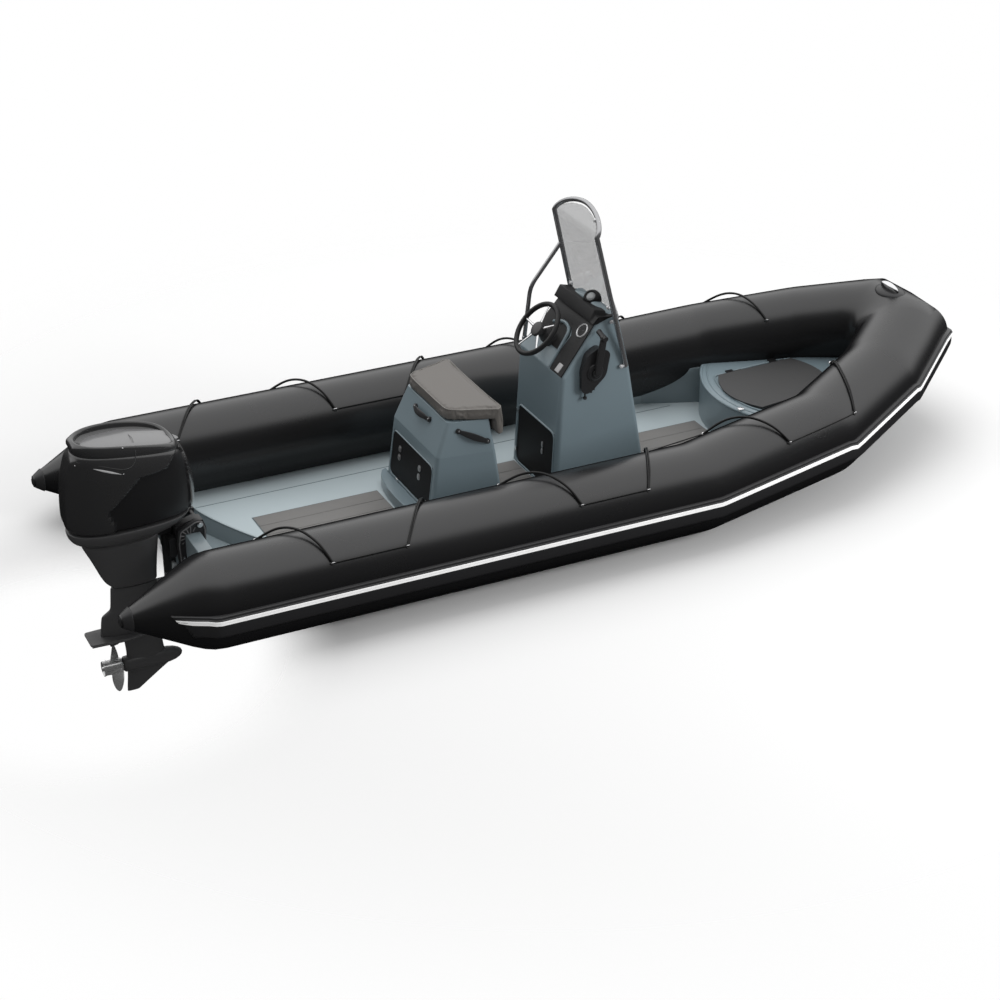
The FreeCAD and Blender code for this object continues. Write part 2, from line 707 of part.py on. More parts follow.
def make_pads():
    """Non-slip panels, two halves with a seam, between the deck fittings."""
    seat_aft, seat_fore = SEAT_LEVELS[0][1], SEAT_LEVELS[0][2]
    console_aft, console_fore = CONSOLE_LEVELS[0][1], CONSOLE_LEVELS[0][2]
    margin = 12.0
    seat_aft_edge = PLINTH_AFT_STATION
    spans = [(PAD_AFT_STATION, seat_aft_edge - margin), (seat_fore + margin, console_aft - margin),
             (console_fore + margin, LOCKER_FRONT_STATION - margin)]
    pads = []
    for aft, fore in spans:
        for side in (-1, 1):
            inner, outer = side * PAD_SEAM / 2, side * PAD_HALF_WIDTH
            pads.append(box(aft, fore, min(inner, outer), max(inner, outer),
                            DECK_HEIGHT, DECK_HEIGHT + PAD_THICKNESS))
    save("deck_pads", *pads)


# ---- bow locker ---------------------------------------------------------------------------


def tube_inside(station, height):
    """Half breadth of the clear space between the side tubes."""
    y, z = axis_at(station)
    return y - math.sqrt(TUBE_RADIUS ** 2 - (height - z) ** 2)


def lid_corners():
    """Station and half width of the lid's aft and fore corners."""
    aft, fore = LID_AFT_STATION, LID_FORE_STATION
    return (aft, tube_inside(aft, locker_top(aft)) - LID_AFT_MARGIN,
            fore, tube_inside(fore, locker_top(fore)) - LID_FORE_MARGIN)


def lid_outline(grow):
    """Plan of the lid as a closed list of points; grow > 0 makes it larger all round."""
    aft, aft_half, fore, fore_half = lid_corners()
    steps = 8
    half = []
    for i in range(steps + 1):
        share = i / steps
        y = (aft_half + grow) * share
        half.append((aft - LID_AFT_BULGE * (1 - share ** 2) - grow, y))
    for i in range(steps, -1, -1):
        share = i / steps
        y = (fore_half + grow) * share
        half.append((fore + LID_FORE_BULGE * (1 - share ** 2) + grow, y))
    return half + [(x, -y) for x, y in reversed(half[1:-1])]


def sloped(shape, station):
    """Tilt a flat plate, made at height 0, to the slope of the locker's top."""
    angle = -math.degrees(math.atan(LOCKER_TOP_RISE))
    tilted = shape.copy()
    tilted.rotate(Vector(station, 0, 0), Vector(0, 1, 0), angle)
    return tilted.translated(Vector(0, 0, locker_top(station)))


def make_bow_locker():
    pivot = LOCKER_FRONT_STATION
    plan = [(pivot - 100, TUBE_HALF_SPACING), (pivot + LOCKER_LENGTH, TUBE_HALF_SPACING)]
    top = plan_prism(both_sides(plan), -LOCKER_WALL, 0)
    hole = plan_prism(lid_outline(-LID_LAP), -2 * LOCKER_WALL, LOCKER_WALL)
    top = sloped(top.cut(hole), pivot)
    shell = bulkhead_arc(LOCKER_ARC_RADIUS)
    top = top.common(shell.fuse(box(pivot + 2 * LOCKER_WALL + LOCKER_ARC_RADIUS / 2, FAR + pivot,
                                    -FAR, FAR, -FAR, FAR)))
    wall = shell.cut(bulkhead_arc(LOCKER_ARC_RADIUS - LOCKER_WALL))
    wall = wall.common(box(0, pivot + LOCKER_ARC_RADIUS / 2, -FAR, FAR, DECK_HEIGHT, FAR))
    bow_end = pivot + FAR
    wall = wall.cut(side_prism([(0, locker_top(0)), (bow_end, locker_top(bow_end)),
                                (bow_end, FAR), (0, FAR)], -FAR, FAR))
    locker = joined([top, wall])
    locker = clear_of_tubes(locker).cut(HULL)
    save("bow_locker", sorted(locker.Solids, key=lambda s: s.Volume)[-1])
    make_lid(pivot)


def make_lid(pivot):
    """Lid and its two hinges, whose axis runs beside the lid's port edge."""
    lid = plan_prism(lid_outline(0), LID_LIFT, LID_LIFT + LID_THICKNESS)
    aft, aft_half, fore, fore_half = lid_corners()
    middle = LID_LIFT + LID_THICKNESS - HINGE_RADIUS
    edge = Vector(fore - aft, fore_half - aft_half, 0).normalize()
    outward = Vector(-edge.y, edge.x, 0)
    axis_start = Vector(aft, aft_half, middle) + outward * (2 * HINGE_RADIUS)
    turn = math.degrees(math.atan2(edge.y, edge.x))
    fixed, moving = [], []
    for along in LID_HINGE_PLACES:
        pieces = {"post": box(-HINGE_LENGTH, 0, -1, 1, -middle, 0),
                  "fixed_barrel": rod((-HINGE_LENGTH, 0, 0), (0, 0, 0), HINGE_RADIUS),
                  "barrel": rod((SEAT_GAP, 0, 0), (HINGE_LENGTH, 0, 0), HINGE_RADIUS),
                  "leaf": box(SEAT_GAP, HINGE_LENGTH, -LID_LEAF_REACH, 0, -1.5, 1.5)}
        for name, piece in pieces.items():
            piece.rotate(Vector(0, 0, 0), Vector(0, 0, 1), turn)
            piece.translate(axis_start + edge * along)
            (moving if name in ("barrel", "leaf") else fixed).append(piece)
    lid = joined([lid] + moving)
    save("bow_locker_lid", sloped(lid, pivot))
    bases = [joined(fixed[:2]), joined(fixed[2:])]
    save("lid_hinges", *[sloped(b, pivot) for b in bases])


# ---- console ------------------------------------------------------------------------------


def rectangle(aft, fore, half):
    return [(aft, -half), (fore, -half), (fore, half), (aft, half)]


def console_block(inset, drop):
    levels = []
    for height, aft, fore, half in CONSOLE_LEVELS:
        lower = height - (drop if height == CONSOLE_LEVELS[0][0] else inset)
        levels.append((lower, rectangle(aft + inset, fore - inset, half - inset)))
    return stack(levels)


def aft_face(levels, height):
    """Station of a raked aft face at a height, between its first two levels."""
    low, high = levels[0], levels[1]
    return low[1] + (height - low[0]) / (high[0] - low[0]) * (high[1] - low[1])


def door_prism(levels, edges, grow, depth_out, depth_in):
    """Slab parallel to a raked aft face, between two offsets from that face."""
    starboard, port, low, high = edges
    a, b = aft_face(levels, low - grow), aft_face(levels, high + grow)
    outline = [(a - depth_out, low - grow), (a + depth_in, low - grow),
               (b + depth_in, high + grow), (b - depth_out, high + grow)]
    return side_prism(outline, starboard - grow, port + grow)


DASH_AFT = CONSOLE_LEVELS[1]
DASH_FORE = CONSOLE_LEVELS[2]
DASH_ANGLE = math.atan2(DASH_FORE[0] - DASH_AFT[0], DASH_FORE[1] - DASH_AFT[1])
DASH_NORMAL = Vector(-math.sin(DASH_ANGLE), 0, math.cos(DASH_ANGLE))
DASH_UP = Vector(math.cos(DASH_ANGLE), 0, math.sin(DASH_ANGLE))


def on_dash(up, port, out):
    """Point at a distance up the dash slope, to port and out of its face."""
    foot = Vector(DASH_AFT[1], 0, DASH_AFT[0])
    return foot + DASH_UP * up + Vector(0, port, 0) + DASH_NORMAL * out


def dash_prism(outline, low, high):
    """Outline in (up the slope, port) pushed out of the dash face from low to high."""
    corners = [on_dash(u, p, low) for u, p in outline]
    face = Part.Face(Part.makePolygon(corners + [corners[0]]))
    return face.extrude(DASH_NORMAL * (high - low))


def make_console():
    outer = console_block(0, 0)
    inner = console_block(CONSOLE_WALL, 1)
    shell = outer.cut(inner)
    shell = shell.cut(door_prism(CONSOLE_LEVELS, CONSOLE_DOOR, DOOR_GAP, 50, 3 * CONSOLE_WALL))
    save("console", shell)
    door = door_prism(CONSOLE_LEVELS, CONSOLE_DOOR, 0, 0, DOOR_THICKNESS)
    starboard, port, low, high = CONSOLE_DOOR
    fixed, moving = [], []
    rake = Vector(aft_face(CONSOLE_LEVELS, high) - aft_face(CONSOLE_LEVELS, low), 0, high - low)
    rake.normalize()
    hinge_y = port + DOOR_GAP / 2
    for height in (low + 60.0, high - 60.0):
        foot = Vector(aft_face(CONSOLE_LEVELS, height) - HINGE_RADIUS - 1, hinge_y, height)
        top = foot + rake * HINGE_LENGTH
        fixed.append(rod(foot, foot + rake * (HINGE_LENGTH / 2), HINGE_RADIUS))
        fixed.append(hinge_leaf(foot, foot + rake * (HINGE_LENGTH / 2), HINGE_LEAF_REACH))
        split = foot + rake * (HINGE_LENGTH / 2 + 2 * SEAT_GAP)
        moving.append(rod(split, top, HINGE_RADIUS))
        moving.append(hinge_leaf(split, top, -HINGE_LEAF_REACH))
    save("console_door", joined([door] + moving))
    hinges = [joined(fixed[:2]), joined(fixed[2:])]
    save("console_hinges", *[h.cut(outer) for h in hinges])


def hinge_leaf(foot, top, reach):
    """Thin plate from a hinge barrel to the face beside it."""
    thickness = 3.0
    back = HINGE_RADIUS + 1
    across = Vector(0, reach, 0)
    forward = Vector(back, 0, 0)
    start = foot + forward - Vector(thickness, 0, 0)
    corners = [start, start + across, top + (start + across - foot), top + (start - foot)]
    face = Part.Face(Part.makePolygon(corners + [corners[0]]))
    return face.extrude(Vector(thickness, 0, 0))


def make_dash():
    length = (on_dash(0, 0, 0) - Vector(DASH_FORE[1], 0, DASH_FORE[0])).Length
    low_half, high_half = DASH_AFT[3] - DASH_MARGIN, DASH_FORE[3] - DASH_MARGIN
    foot, head = DASH_END_MARGINS[0], length - DASH_END_MARGINS[1]
    outline = [(foot, -low_half), (foot, DASH_COLUMN_EDGE[0]), (DASH_STEP, DASH_COLUMN_EDGE[1]),
               (DASH_STEP, high_half), (head, high_half), (head, -high_half)]
    panel = dash_prism(outline, 0, DASH_PANEL_THICKNESS)
    save("dash_panel", panel)
    gauge_at = on_dash(*GAUGE_PLACE, DASH_PANEL_THICKNESS)
    ring = Part.makeCylinder(GAUGE_RADIUS, GAUGE_RIM_HEIGHT, gauge_at, DASH_NORMAL)
    dial = Part.makeCylinder(0.8 * GAUGE_RADIUS, GAUGE_RIM_HEIGHT,
                             gauge_at + DASH_NORMAL * GAUGE_FACE_DEPTH, DASH_NORMAL)
    save("gauge", ring.cut(dial))
    hood = hood_block()
    save("dash_hood", hood)
    base = Part.makeCylinder(COMPASS_RADIUS, COMPASS_HEIGHT,
                             Vector(*COMPASS_PLACE, CONSOLE_LEVELS[3][0] + SEAT_GAP))
    save("compass", base.cut(hood))
    hub_foot = steering_point(-WHEEL_STAND_OFF)
    hub = Part.makeCylinder(HELM_RADIUS, WHEEL_STAND_OFF - WHEEL_HUB_DEPTH, hub_foot, DASH_NORMAL)
    save("helm_hub", hub.cut(console_block(0, 0)))


def hood_block():
    """Black cross piece over the top of the dash."""
    half = DASH_FORE[3] + HOOD_OVERHANG
    return side_prism(HOOD_OUTLINE, -half, half).cut(console_block(0, 0))


def steering_point(out):
    return Vector(*WHEEL_CENTRE) + DASH_NORMAL * out


def make_steering_wheel():
    centre = Vector(*WHEEL_CENTRE)
    rim = Part.makeTorus(WHEEL_RADIUS - WHEEL_RIM_RADIUS, WHEEL_RIM_RADIUS, centre, DASH_NORMAL)
    hub = Part.makeCylinder(WHEEL_HUB_RADIUS, WHEEL_HUB_DEPTH,
                            steering_point(SEAT_GAP - WHEEL_HUB_DEPTH), DASH_NORMAL)
    pieces = [rim, hub]
    for spoke in range(WHEEL_SPOKES):
        direction = Rotation(DASH_NORMAL, spoke * 360.0 / WHEEL_SPOKES).multVec(DASH_UP)
        end = centre + direction * (WHEEL_RADIUS - WHEEL_RIM_RADIUS)
        start = steering_point(-16.0)
        pieces.append(Part.makeCylinder(WHEEL_SPOKE_RADIUS, (end - start).Length, start,
                                        end - start))
    save("steering_wheel", joined(pieces))


def make_throttle():
    side = CONSOLE_LEVELS[1][3]
    housing = side_prism(THROTTLE_OUTLINE, -side - THROTTLE_PROUD, 0)
    save("throttle_box", housing.cut(console_block(0, 0)))
    station, height = LEVER_PIVOT
    radius, length = LEVER_BOSS
    start = -side - THROTTLE_PROUD
    boss = rod((station, start, height), (station, start - length, height), radius)
    arm = side_prism(LEVER_OUTLINE, -side - LEVER_LAYER[1], -side - LEVER_LAYER[0])
    station, height, radius = LEVER_GRIP
    grip = rod((station, -side - LEVER_GRIP_SPAN[0], height),
               (station, -side - LEVER_GRIP_SPAN[1], height + LEVER_GRIP_RISE), radius)
    lever = joined([boss, arm, grip]).cut(console_block(-1.0, 0))
    save("throttle_lever", lever)


def bent_rod(points, radius, bend):
    """Round bar along straight runs joined by arcs of one bend radius."""
    vectors = [Vector(*p) for p in points]
    edges = []
    last = vectors[0]
    for before, corner, after in zip(vectors, vectors[1:], vectors[2:]):
        inward = (before - corner).normalize()
        onward = (after - corner).normalize()
        half = inward.getAngle(onward) / 2
        reach = bend / math.tan(half)
        start, end = corner + inward * reach, corner + onward * reach
        middle_way = (inward + onward).normalize()
        middle = corner + middle_way * (bend / math.sin(half) - bend)
        edges.append(Part.LineSegment(last, start).toShape())
        edges.append(Part.Arc(start, middle, end).toShape())
        last = end
    edges.append(Part.LineSegment(last, vectors[-1]).toShape())
    path = Part.Wire(edges)
    direction = vectors[1] - vectors[0]
    ring = Part.Wire(Part.makeCircle(radius, vectors[0], direction))
    return path.makePipeShell([ring], True, True)


def hoop_point(height):
    """Point on the port leg's line at a height."""
    foot, shoulder = Vector(*HOOP_FOOT), Vector(*HOOP_SHOULDER)
    share = (height - foot.z) / (shoulder.z - foot.z)
    return foot + (shoulder - foot) * share


def make_windscreen():
    top = hoop_point(HOOP_TOP_HEIGHT)
    foot = Vector(*HOOP_FOOT)
    corners = [foot, top, Vector(top.x, -top.y, top.z), Vector(foot.x, -foot.y, foot.z)]
    hoop = bent_rod([tuple(c) for c in corners], HOOP_TUBE_RADIUS, HOOP_CORNER)
    pads = [rod((foot.x, side * foot.y, foot.z),
                (foot.x, side * (console_side(foot.z) + SEAT_GAP), foot.z - 2), HOOP_PAD_RADIUS)
            for side in (-1, 1)]
    rail = bent_rod([tuple(hoop_point(BRACE_TOP_HEIGHT)), BRACE_ELBOW, BRACE_FOOT],
                    BRACE_TUBE_RADIUS, BRACE_BEND)
    rail_pad = rod(BRACE_FOOT, (BRACE_FOOT[0], console_side(BRACE_FOOT[2]), BRACE_FOOT[2]),
                   HOOP_PAD_RADIUS)
    save("screen_hoop", joined([hoop, rail, rail_pad] + pads).cut(console_block(-SEAT_GAP, 0)))
    base = CONSOLE_LEVELS[3][0] + SCREEN_LIFT
    levels = [(z, hoop_point(z)) for z in (base, HOOP_TOP_HEIGHT - HOOP_TUBE_RADIUS
                                           - SCREEN_CLEARANCE)]
    shells = []
    for inset in (0.0, SCREEN_THICKNESS):
        rows = []
        for height, point in levels:
            wing = point.y - HOOP_TUBE_RADIUS - SCREEN_CLEARANCE - inset
            aft, front = point.x - SCREEN_WING_AFT, point.x + SCREEN_WING_FORE - inset
            rows.append((height, [(aft, -wing), (front, -wing + SCREEN_WING_BEVEL),
                                  (front, wing - SCREEN_WING_BEVEL), (aft, wing)]))
        shells.append(stack(rows))
    screen = shells[0].cut(shells[1])
    half = hoop_point(base).y
    port = [(half, base - 2 * SCREEN_LIFT)] + [(w or half, z) for z, w in SCREEN_CROWN]
    window = port + [(-y, z) for y, z in reversed(port)]
    station = hoop_point(base).x
    screen = screen.common(front_prism(window, station - FAR, station + FAR)).cut(hood_block())
    save("windscreen", sorted(screen.Solids, key=lambda s: s.Volume)[-1])


def console_side(height):
    rows = CONSOLE_LEVELS
    for low, high in zip(rows, rows[1:]):
        if height <= high[0]:
            break
    return low[3] + (height - low[0]) / (high[0] - low[0]) * (high[3] - low[3])


# ---- helm seat ----------------------------------------------------------------------------


def seat_block(inset, drop):
    levels = []
    for index, (height, aft, fore, aft_half, fore_half) in enumerate(SEAT_LEVELS):
        lower = height - (drop if index == 0 else inset)
        levels.append((lower, [(aft + inset, -aft_half + inset), (fore - inset, -fore_half + inset),
                               (fore - inset, fore_half - inset), (aft + inset, aft_half - inset)]))
    return stack(levels)


def make_seat():
    outer = seat_block(0, 0)
    shell = outer.cut(seat_block(SEAT_WALL, 1))
    shell = shell.cut(door_prism(SEAT_LEVELS, SEAT_DOOR, DOOR_GAP, 50, 3 * SEAT_WALL))
    save("seat_base", shell)
    door = door_prism(SEAT_LEVELS, SEAT_DOOR, 0, 0, DOOR_THICKNESS)
    starboard, port, low, high = SEAT_DOOR
    station = aft_face(SEAT_LEVELS, low) - HINGE_RADIUS - 1
    height = low - DOOR_GAP / 2
    fixed, moving = [], []
    for middle in (starboard + 110.0, port - 110.0):
        near, far = middle - HINGE_LENGTH / 2, middle + HINGE_LENGTH / 2
        fixed.append(rod((station, near, height), (station, middle, height), HINGE_RADIUS))
        fixed.append(box(station, station + HINGE_RADIUS + 1, near, middle, height - 14, height))
        moving.append(rod((station, middle + SEAT_GAP, height), (station, far, height),
                          HINGE_RADIUS))
        moving.append(box(station, station + HINGE_RADIUS + 4, middle + SEAT_GAP, far, height,
                          height + 22))
    save("seat_door", joined([door] + moving))
    hinges = [joined(fixed[:2]), joined(fixed[2:])]
    save("seat_hinges", *[h.cut(outer) for h in hinges])
    make_seat_handles()
    steps = 10
    arc = []
    for i in range(steps + 1):
        angle = math.pi * i / steps
        arc.append((2060.0 - (2060.0 - PLINTH_AFT_STATION) * math.sin(angle),
                    372.0 * math.cos(angle)))
    plinth = plan_prism(arc, DECK_HEIGHT, DECK_HEIGHT + PLINTH_HEIGHT).cut(outer)
    save("seat_plinth", sorted(plinth.Solids, key=lambda s: s.Volume)[-1])
    seat_top = SEAT_LEVELS[2][0] + SEAT_GAP
    pad = plan_prism(both_sides(CUSHION_PLAN), seat_top, CUSHION_TOP)
    fore = CUSHION_PLAN[1][0]
    lip_half = CUSHION_PLAN[1][1] - 20
    lip = box(fore - CUSHION_LIP_THICKNESS, fore, -lip_half, lip_half,
              seat_top - CUSHION_LIP_DEPTH, CUSHION_TOP - 1)
    save("seat_cushion", joined([pad, lip]).cut(seat_block(-SEAT_GAP, 0)))


def face_point(row, height):
    """Station and half width of the seat base's upper slope at one of its outline's corners."""
    low, high = SEAT_LEVELS[1], SEAT_LEVELS[2]
    share = (height - low[0]) / (high[0] - low[0])
    return low[row] + share * (high[row] - low[row])


def face_half(station, height):
    """Half width of the seat base's upper part at a station and height."""
    aft, fore = face_point(1, height), face_point(2, height)
    aft_half, fore_half = face_point(3, height), face_point(4, height)
    return aft_half + (station - aft) / (fore - aft) * (fore_half - aft_half)


def handle(first, second, outward):
    """Bar handle whose two legs stand on a face along outward."""
    legs = [first, first + outward * HANDLE_PROUD, second + outward * HANDLE_PROUD, second]
    return bent_rod([tuple(p) for p in legs], HANDLE_RADIUS, 2 * HANDLE_RADIUS)


def make_seat_handles():
    """Handle across the aft slope and one on each side of the seat base."""
    station = face_point(1, SEAT_HANDLE_HEIGHT)
    low, high = SEAT_LEVELS[1], SEAT_LEVELS[2]
    slope_out = Vector(low[0] - high[0], 0, high[1] - low[1]).normalize()
    half = SEAT_HANDLE_SPAN / 2
    aft = handle(Vector(station, -half, SEAT_HANDLE_HEIGHT), Vector(station, half, SEAT_HANDLE_HEIGHT),
                 slope_out)
    feet = [Vector(x, face_half(x, z), z) for x, z in SIDE_HANDLE]
    lean = (low[3] - high[3]) / (high[0] - low[0])
    side_out = Vector(-(low[4] - low[3]) / (low[2] - low[1]), 1, lean).normalize()
    side = handle(feet[0], feet[1], side_out)
    skin = seat_block(-SEAT_GAP, 0)
    save("seat_handles", aft.cut(skin), side.cut(skin), mirrored(side).cut(skin))


# ---- outboard motor -----------------------------------------------------------------------


def oval(aft, fore, half, corner):
    """Plan outline of the motor's covers: a rectangle with wide chamfered corners."""
    return both_sides([(aft, half - corner), (aft + corner * 0.9, half), (fore - corner, half),
                       (fore, half - corner * 0.8)])


def shrunk(levels, wall):
    out = []
    for height, aft, fore, half, corner in levels:
        out.append((height, aft + wall, fore - wall, half - wall, corner))
    return out


def cover(levels):
    return stack([(row[0], oval(*row[1:])) for row in levels])


def make_motor():
    upper = cover(COWL_LEVELS)
    inner_levels = shrunk(COWL_LEVELS, COWL_WALL)
    inner_levels[0] = (COWL_LEVELS[0][0] - 1,) + inner_levels[0][1:]
    inner_levels[-1] = (COWL_LEVELS[-1][0] - COWL_WALL,) + inner_levels[-1][1:]
    save("cowl", upper.cut(cover(inner_levels)))
    seam = COWL_LEVELS[0][0]
    skirt = cover(SKIRT_LEVELS)
    skirt_inner = shrunk(SKIRT_LEVELS, COWL_WALL)
    skirt_inner[0] = (SKIRT_LEVELS[0][0] + COWL_WALL,) + skirt_inner[0][1:]
    skirt_inner[-1] = (SKIRT_LEVELS[-1][0] + 1,) + skirt_inner[-1][1:]
    gasket_levels = [(SKIRT_LEVELS[-1][0],) + SKIRT_LEVELS[-1][1:],
                     (seam,) + SKIRT_LEVELS[-1][1:]]
    tray = skirt.cut(cover(skirt_inner))
    ring = cover(gasket_levels).cut(cover(shrunk(gasket_levels, 2 * COWL_WALL)))
    save("cowl_skirt", joined([tray, ring]))
    aft, fore, half, top = ENGINE
    room = shrunk(SKIRT_LEVELS, COWL_WALL + SEAT_GAP)
    foot = SKIRT_LEVELS[0][0] + COWL_WALL + SEAT_GAP
    room[0] = (foot,) + room[0][1:]
    engine = box(aft, fore, -half, half, foot, top)
    below = engine.common(cover(room))
    save("engine_block", joined([below, engine.common(box(0, FAR, -FAR, FAR, room[-1][0], FAR))]))
    save("midsection", cover(MIDSECTION_LEVELS))
    plate_low, plate_high = PLATE_HEIGHTS
    leg_top = MIDSECTION_LEVELS[0][0]
    leg = plan_prism(both_sides(UPPER_LEG), plate_low, leg_top)
    leg = leg.fuse(plan_prism(both_sides(LOWER_LEG), SHAFT_HEIGHT, plate_low))
    nose_at, radius = TORPEDO
    torpedo = rod((PROPELLER_FORE_STATION + SEAT_GAP, 0, SHAFT_HEIGHT),
                  (nose_at, 0, SHAFT_HEIGHT), radius)
    nose = Part.makeCone(radius, TORPEDO_NOSE[1], TORPEDO_NOSE[0],
                         Vector(nose_at, 0, SHAFT_HEIGHT), Vector(1, 0, 0))
    tip_aft, tip_fore, tip_height = SKEG_TIP
    root = SHAFT_HEIGHT - radius / 2
    skeg = side_prism([(tip_aft, tip_height), (tip_fore, tip_height), (SKEG_ROOT[1], root),
                       (SKEG_ROOT[0], root)], -SKEG_HALF, SKEG_HALF)
    save("gearcase", joined([leg, torpedo, nose, skeg]))
    plate = plan_prism(both_sides(VENTILATION_PLATE), plate_low, plate_high)
    save("ventilation_plate", plate.cut(leg))
    hub = rod((HUB[0], 0, SHAFT_HEIGHT), (PROPELLER_FORE_STATION, 0, SHAFT_HEIGHT), HUB[1])
    spinner = Part.makeCone(HUB[1], SPINNER[1], SPINNER[0], Vector(HUB[0], 0, SHAFT_HEIGHT),
                            Vector(-1, 0, 0))
    blades = []
    for turn in range(BLADES):
        blade = side_prism(BLADE_OUTLINE, -BLADE_THICKNESS / 2, BLADE_THICKNESS / 2)
        blade.rotate(Vector(0, 0, 0), Vector(0, 0, 1), BLADE_PITCH)
        blade.rotate(Vector(0, 0, 0), Vector(1, 0, 0), turn * 360.0 / BLADES)
        blade.translate(Vector(BLADE_STATION, 0, SHAFT_HEIGHT))
        blades.append(blade)
    save("propeller", joined([hub, spinner] + blades))
    pin = rod((STEER_STATION, 0, YOKE_ARMS[0][0] + 4.0), (STEER_STATION, 0, 0), YOKE_PIN_RADIUS)
    arms = [box(YOKE_AFT, STEER_STATION + YOKE_REACH, -YOKE_HALF, YOKE_HALF, low, high)
            for low, high in YOKE_ARMS]
    yoke = joined([pin] + arms)
    yoke = yoke.cut(cover(MIDSECTION_LEVELS)).cut(skirt)
    save("steering_yoke", sorted(yoke.Solids, key=lambda s: s.Volume)[-1])


def make_bracket():
    """Clamp bracket on the transom and the swivel bracket that tilts in it."""
    station, height = TILT_AXIS
    aft = TRANSOM_AFT_STATION
    fore = aft + TRANSOM_THICKNESS
    plates = []
    for side in (-1, 1):
        inner, outer = (side * face for face in CLAMP_CHEEKS)
        outline = [(aft - 34, -300.0), (aft, -300.0), (aft, TRANSOM_TOP), (fore, TRANSOM_TOP),
                   (fore, -90.0), (fore + 30, -90.0), (fore + 38, 20.0), (station + 20, height + 26),
                   (station - 20, height + 28), (aft - 40, 30.0), (aft - 52, -60.0)]
        plates.append(side_prism(outline, min(outer, inner), max(outer, inner)))
    tilt_tube = rod((station, -TILT_TUBE_REACH, height), (station, TILT_TUBE_REACH, height),
                    TILT_TUBE_RADIUS)
    clamp = joined(plates + [tilt_tube])
    save("clamp_bracket", clamp)
    tube = rod((STEER_STATION, 0, STEER_TUBE_LOW), (STEER_STATION, 0, STEER_TUBE_HIGH),
               STEER_TUBE_RADIUS)
    cheeks = []
    for side in (-1, 1):
        inner, outer = (side * face for face in SWIVEL_CHEEKS)
        outline = [(STEER_STATION - 5, SWIVEL_LOW), (STEER_STATION + 30, SWIVEL_LOW),
                   (aft - 6, -20.0), (aft - 6, 14.0), (station + 22, 14.0),
                   (station + 24, height + 18), (station - 20, height + 24),
                   (STEER_STATION + 36, 40.0), (STEER_STATION + 36, -30.0),
                   (STEER_STATION - 5, -30.0)]
        cheeks.append(side_prism(outline, min(inner, outer), max(inner, outer)))
    half = SWIVEL_CHEEKS[1]
    bridge = box(STEER_STATION, STEER_STATION + 30, -half, half, SWIVEL_LOW, -40.0)
    swivel = joined([tube, bridge] + cheeks)
    swivel = swivel.cut(rod((station, -2 * half, height), (station, 2 * half, height),
                            TILT_TUBE_RADIUS + TILT_BORE_GAP))
    swivel = swivel.cut(rod((STEER_STATION, 0, STEER_TUBE_LOW - 5),
                            (STEER_STATION, 0, STEER_TUBE_HIGH + 5),
                            YOKE_PIN_RADIUS + STEER_BORE_GAP))
    save("swivel_bracket", sorted(swivel.Solids, key=lambda s: s.Volume)[-1])


# ---- fittings -----------------------------------------------------------------------------


def make_fittings():
    """Bow handle, towing eye under the stem and two stern eyes."""
    top = NOSE_CORNER.z + TUBE_RADIUS
    x = NOSE_CORNER.x
    aft, fore, half, deep, proud = HANDLE_BASE
    base = box(x - aft, x + fore, -half, half, top - deep, top + proud)
    base = clear_of_tubes(base)
    save("bow_handle_base", sorted(base.Solids, key=lambda s: s.Volume)[-1])
    foot_half, bar_half, rise = BOW_GRIP
    station = x - BOW_GRIP_SETBACK
    grip = bent_rod([(station, foot_half, top + proud), (station, bar_half, top + rise),
                     (station, -bar_half, top + rise), (station, -foot_half, top + proud)],
                    BOW_GRIP_RADIUS, BOW_GRIP_BEND)
    save("bow_handle_grip", grip.cut(base))
    a, b = HULL_SECTIONS[5], HULL_SECTIONS[6]
    along = Vector(b[0] - a[0], 0, b[1] - a[1]).normalize()
    outward = Vector(along.z, 0, -along.x)
    foot = Vector((a[0] + b[0]) / 2, 0, (a[1] + b[1]) / 2)
    save("towing_eye", eye(foot, along, outward, 0.0).cut(HULL))
    aft_face = Vector(TRANSOM_AFT_STATION, 0, STERN_EYE_HEIGHT)
    lug = eye(aft_face, Vector(0, 0, 1), Vector(-1, 0, 0), STERN_EYE_HALF_SPACING)
    lug = lug.cut(box(TRANSOM_AFT_STATION, FAR, -FAR, FAR, -FAR, FAR))
    save("stern_eyes", lug, mirrored(lug))


def eye(foot, along, outward, port):
    """Lug that stands on a surface at foot, bored across the boat."""
    half = EYE_THICKNESS / 2
    centre = foot + outward * EYE_REACH
    spread = EYE_RADIUS * 1.6
    corners = [foot - along * spread - outward * 12, centre - along * EYE_RADIUS,
               centre + along * EYE_RADIUS, foot + along * spread - outward * 12]
    web = side_prism([(c.x, c.z) for c in corners], port - half, port + half)
    disc = rod((centre.x, port - half, centre.z), (centre.x, port + half, centre.z), EYE_RADIUS)
    bore = rod((centre.x, port - 2 * half, centre.z), (centre.x, port + 2 * half, centre.z),
               EYE_BORE_RADIUS)
    return web.fuse(disc).removeSplitter().cut(bore)


make_tubes()
make_strakes()
make_lifelines()
make_transom()
make_deck()
make_pads()
make_bow_locker()
make_console()
make_dash()
make_steering_wheel()
make_throttle()
make_windscreen()
make_seat()
make_motor()
make_bracket()
make_fittings()
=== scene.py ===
import math

import bmesh
import bpy
from mathutils import Matrix, Vector
from mathutils.bvhtree import BVHTree


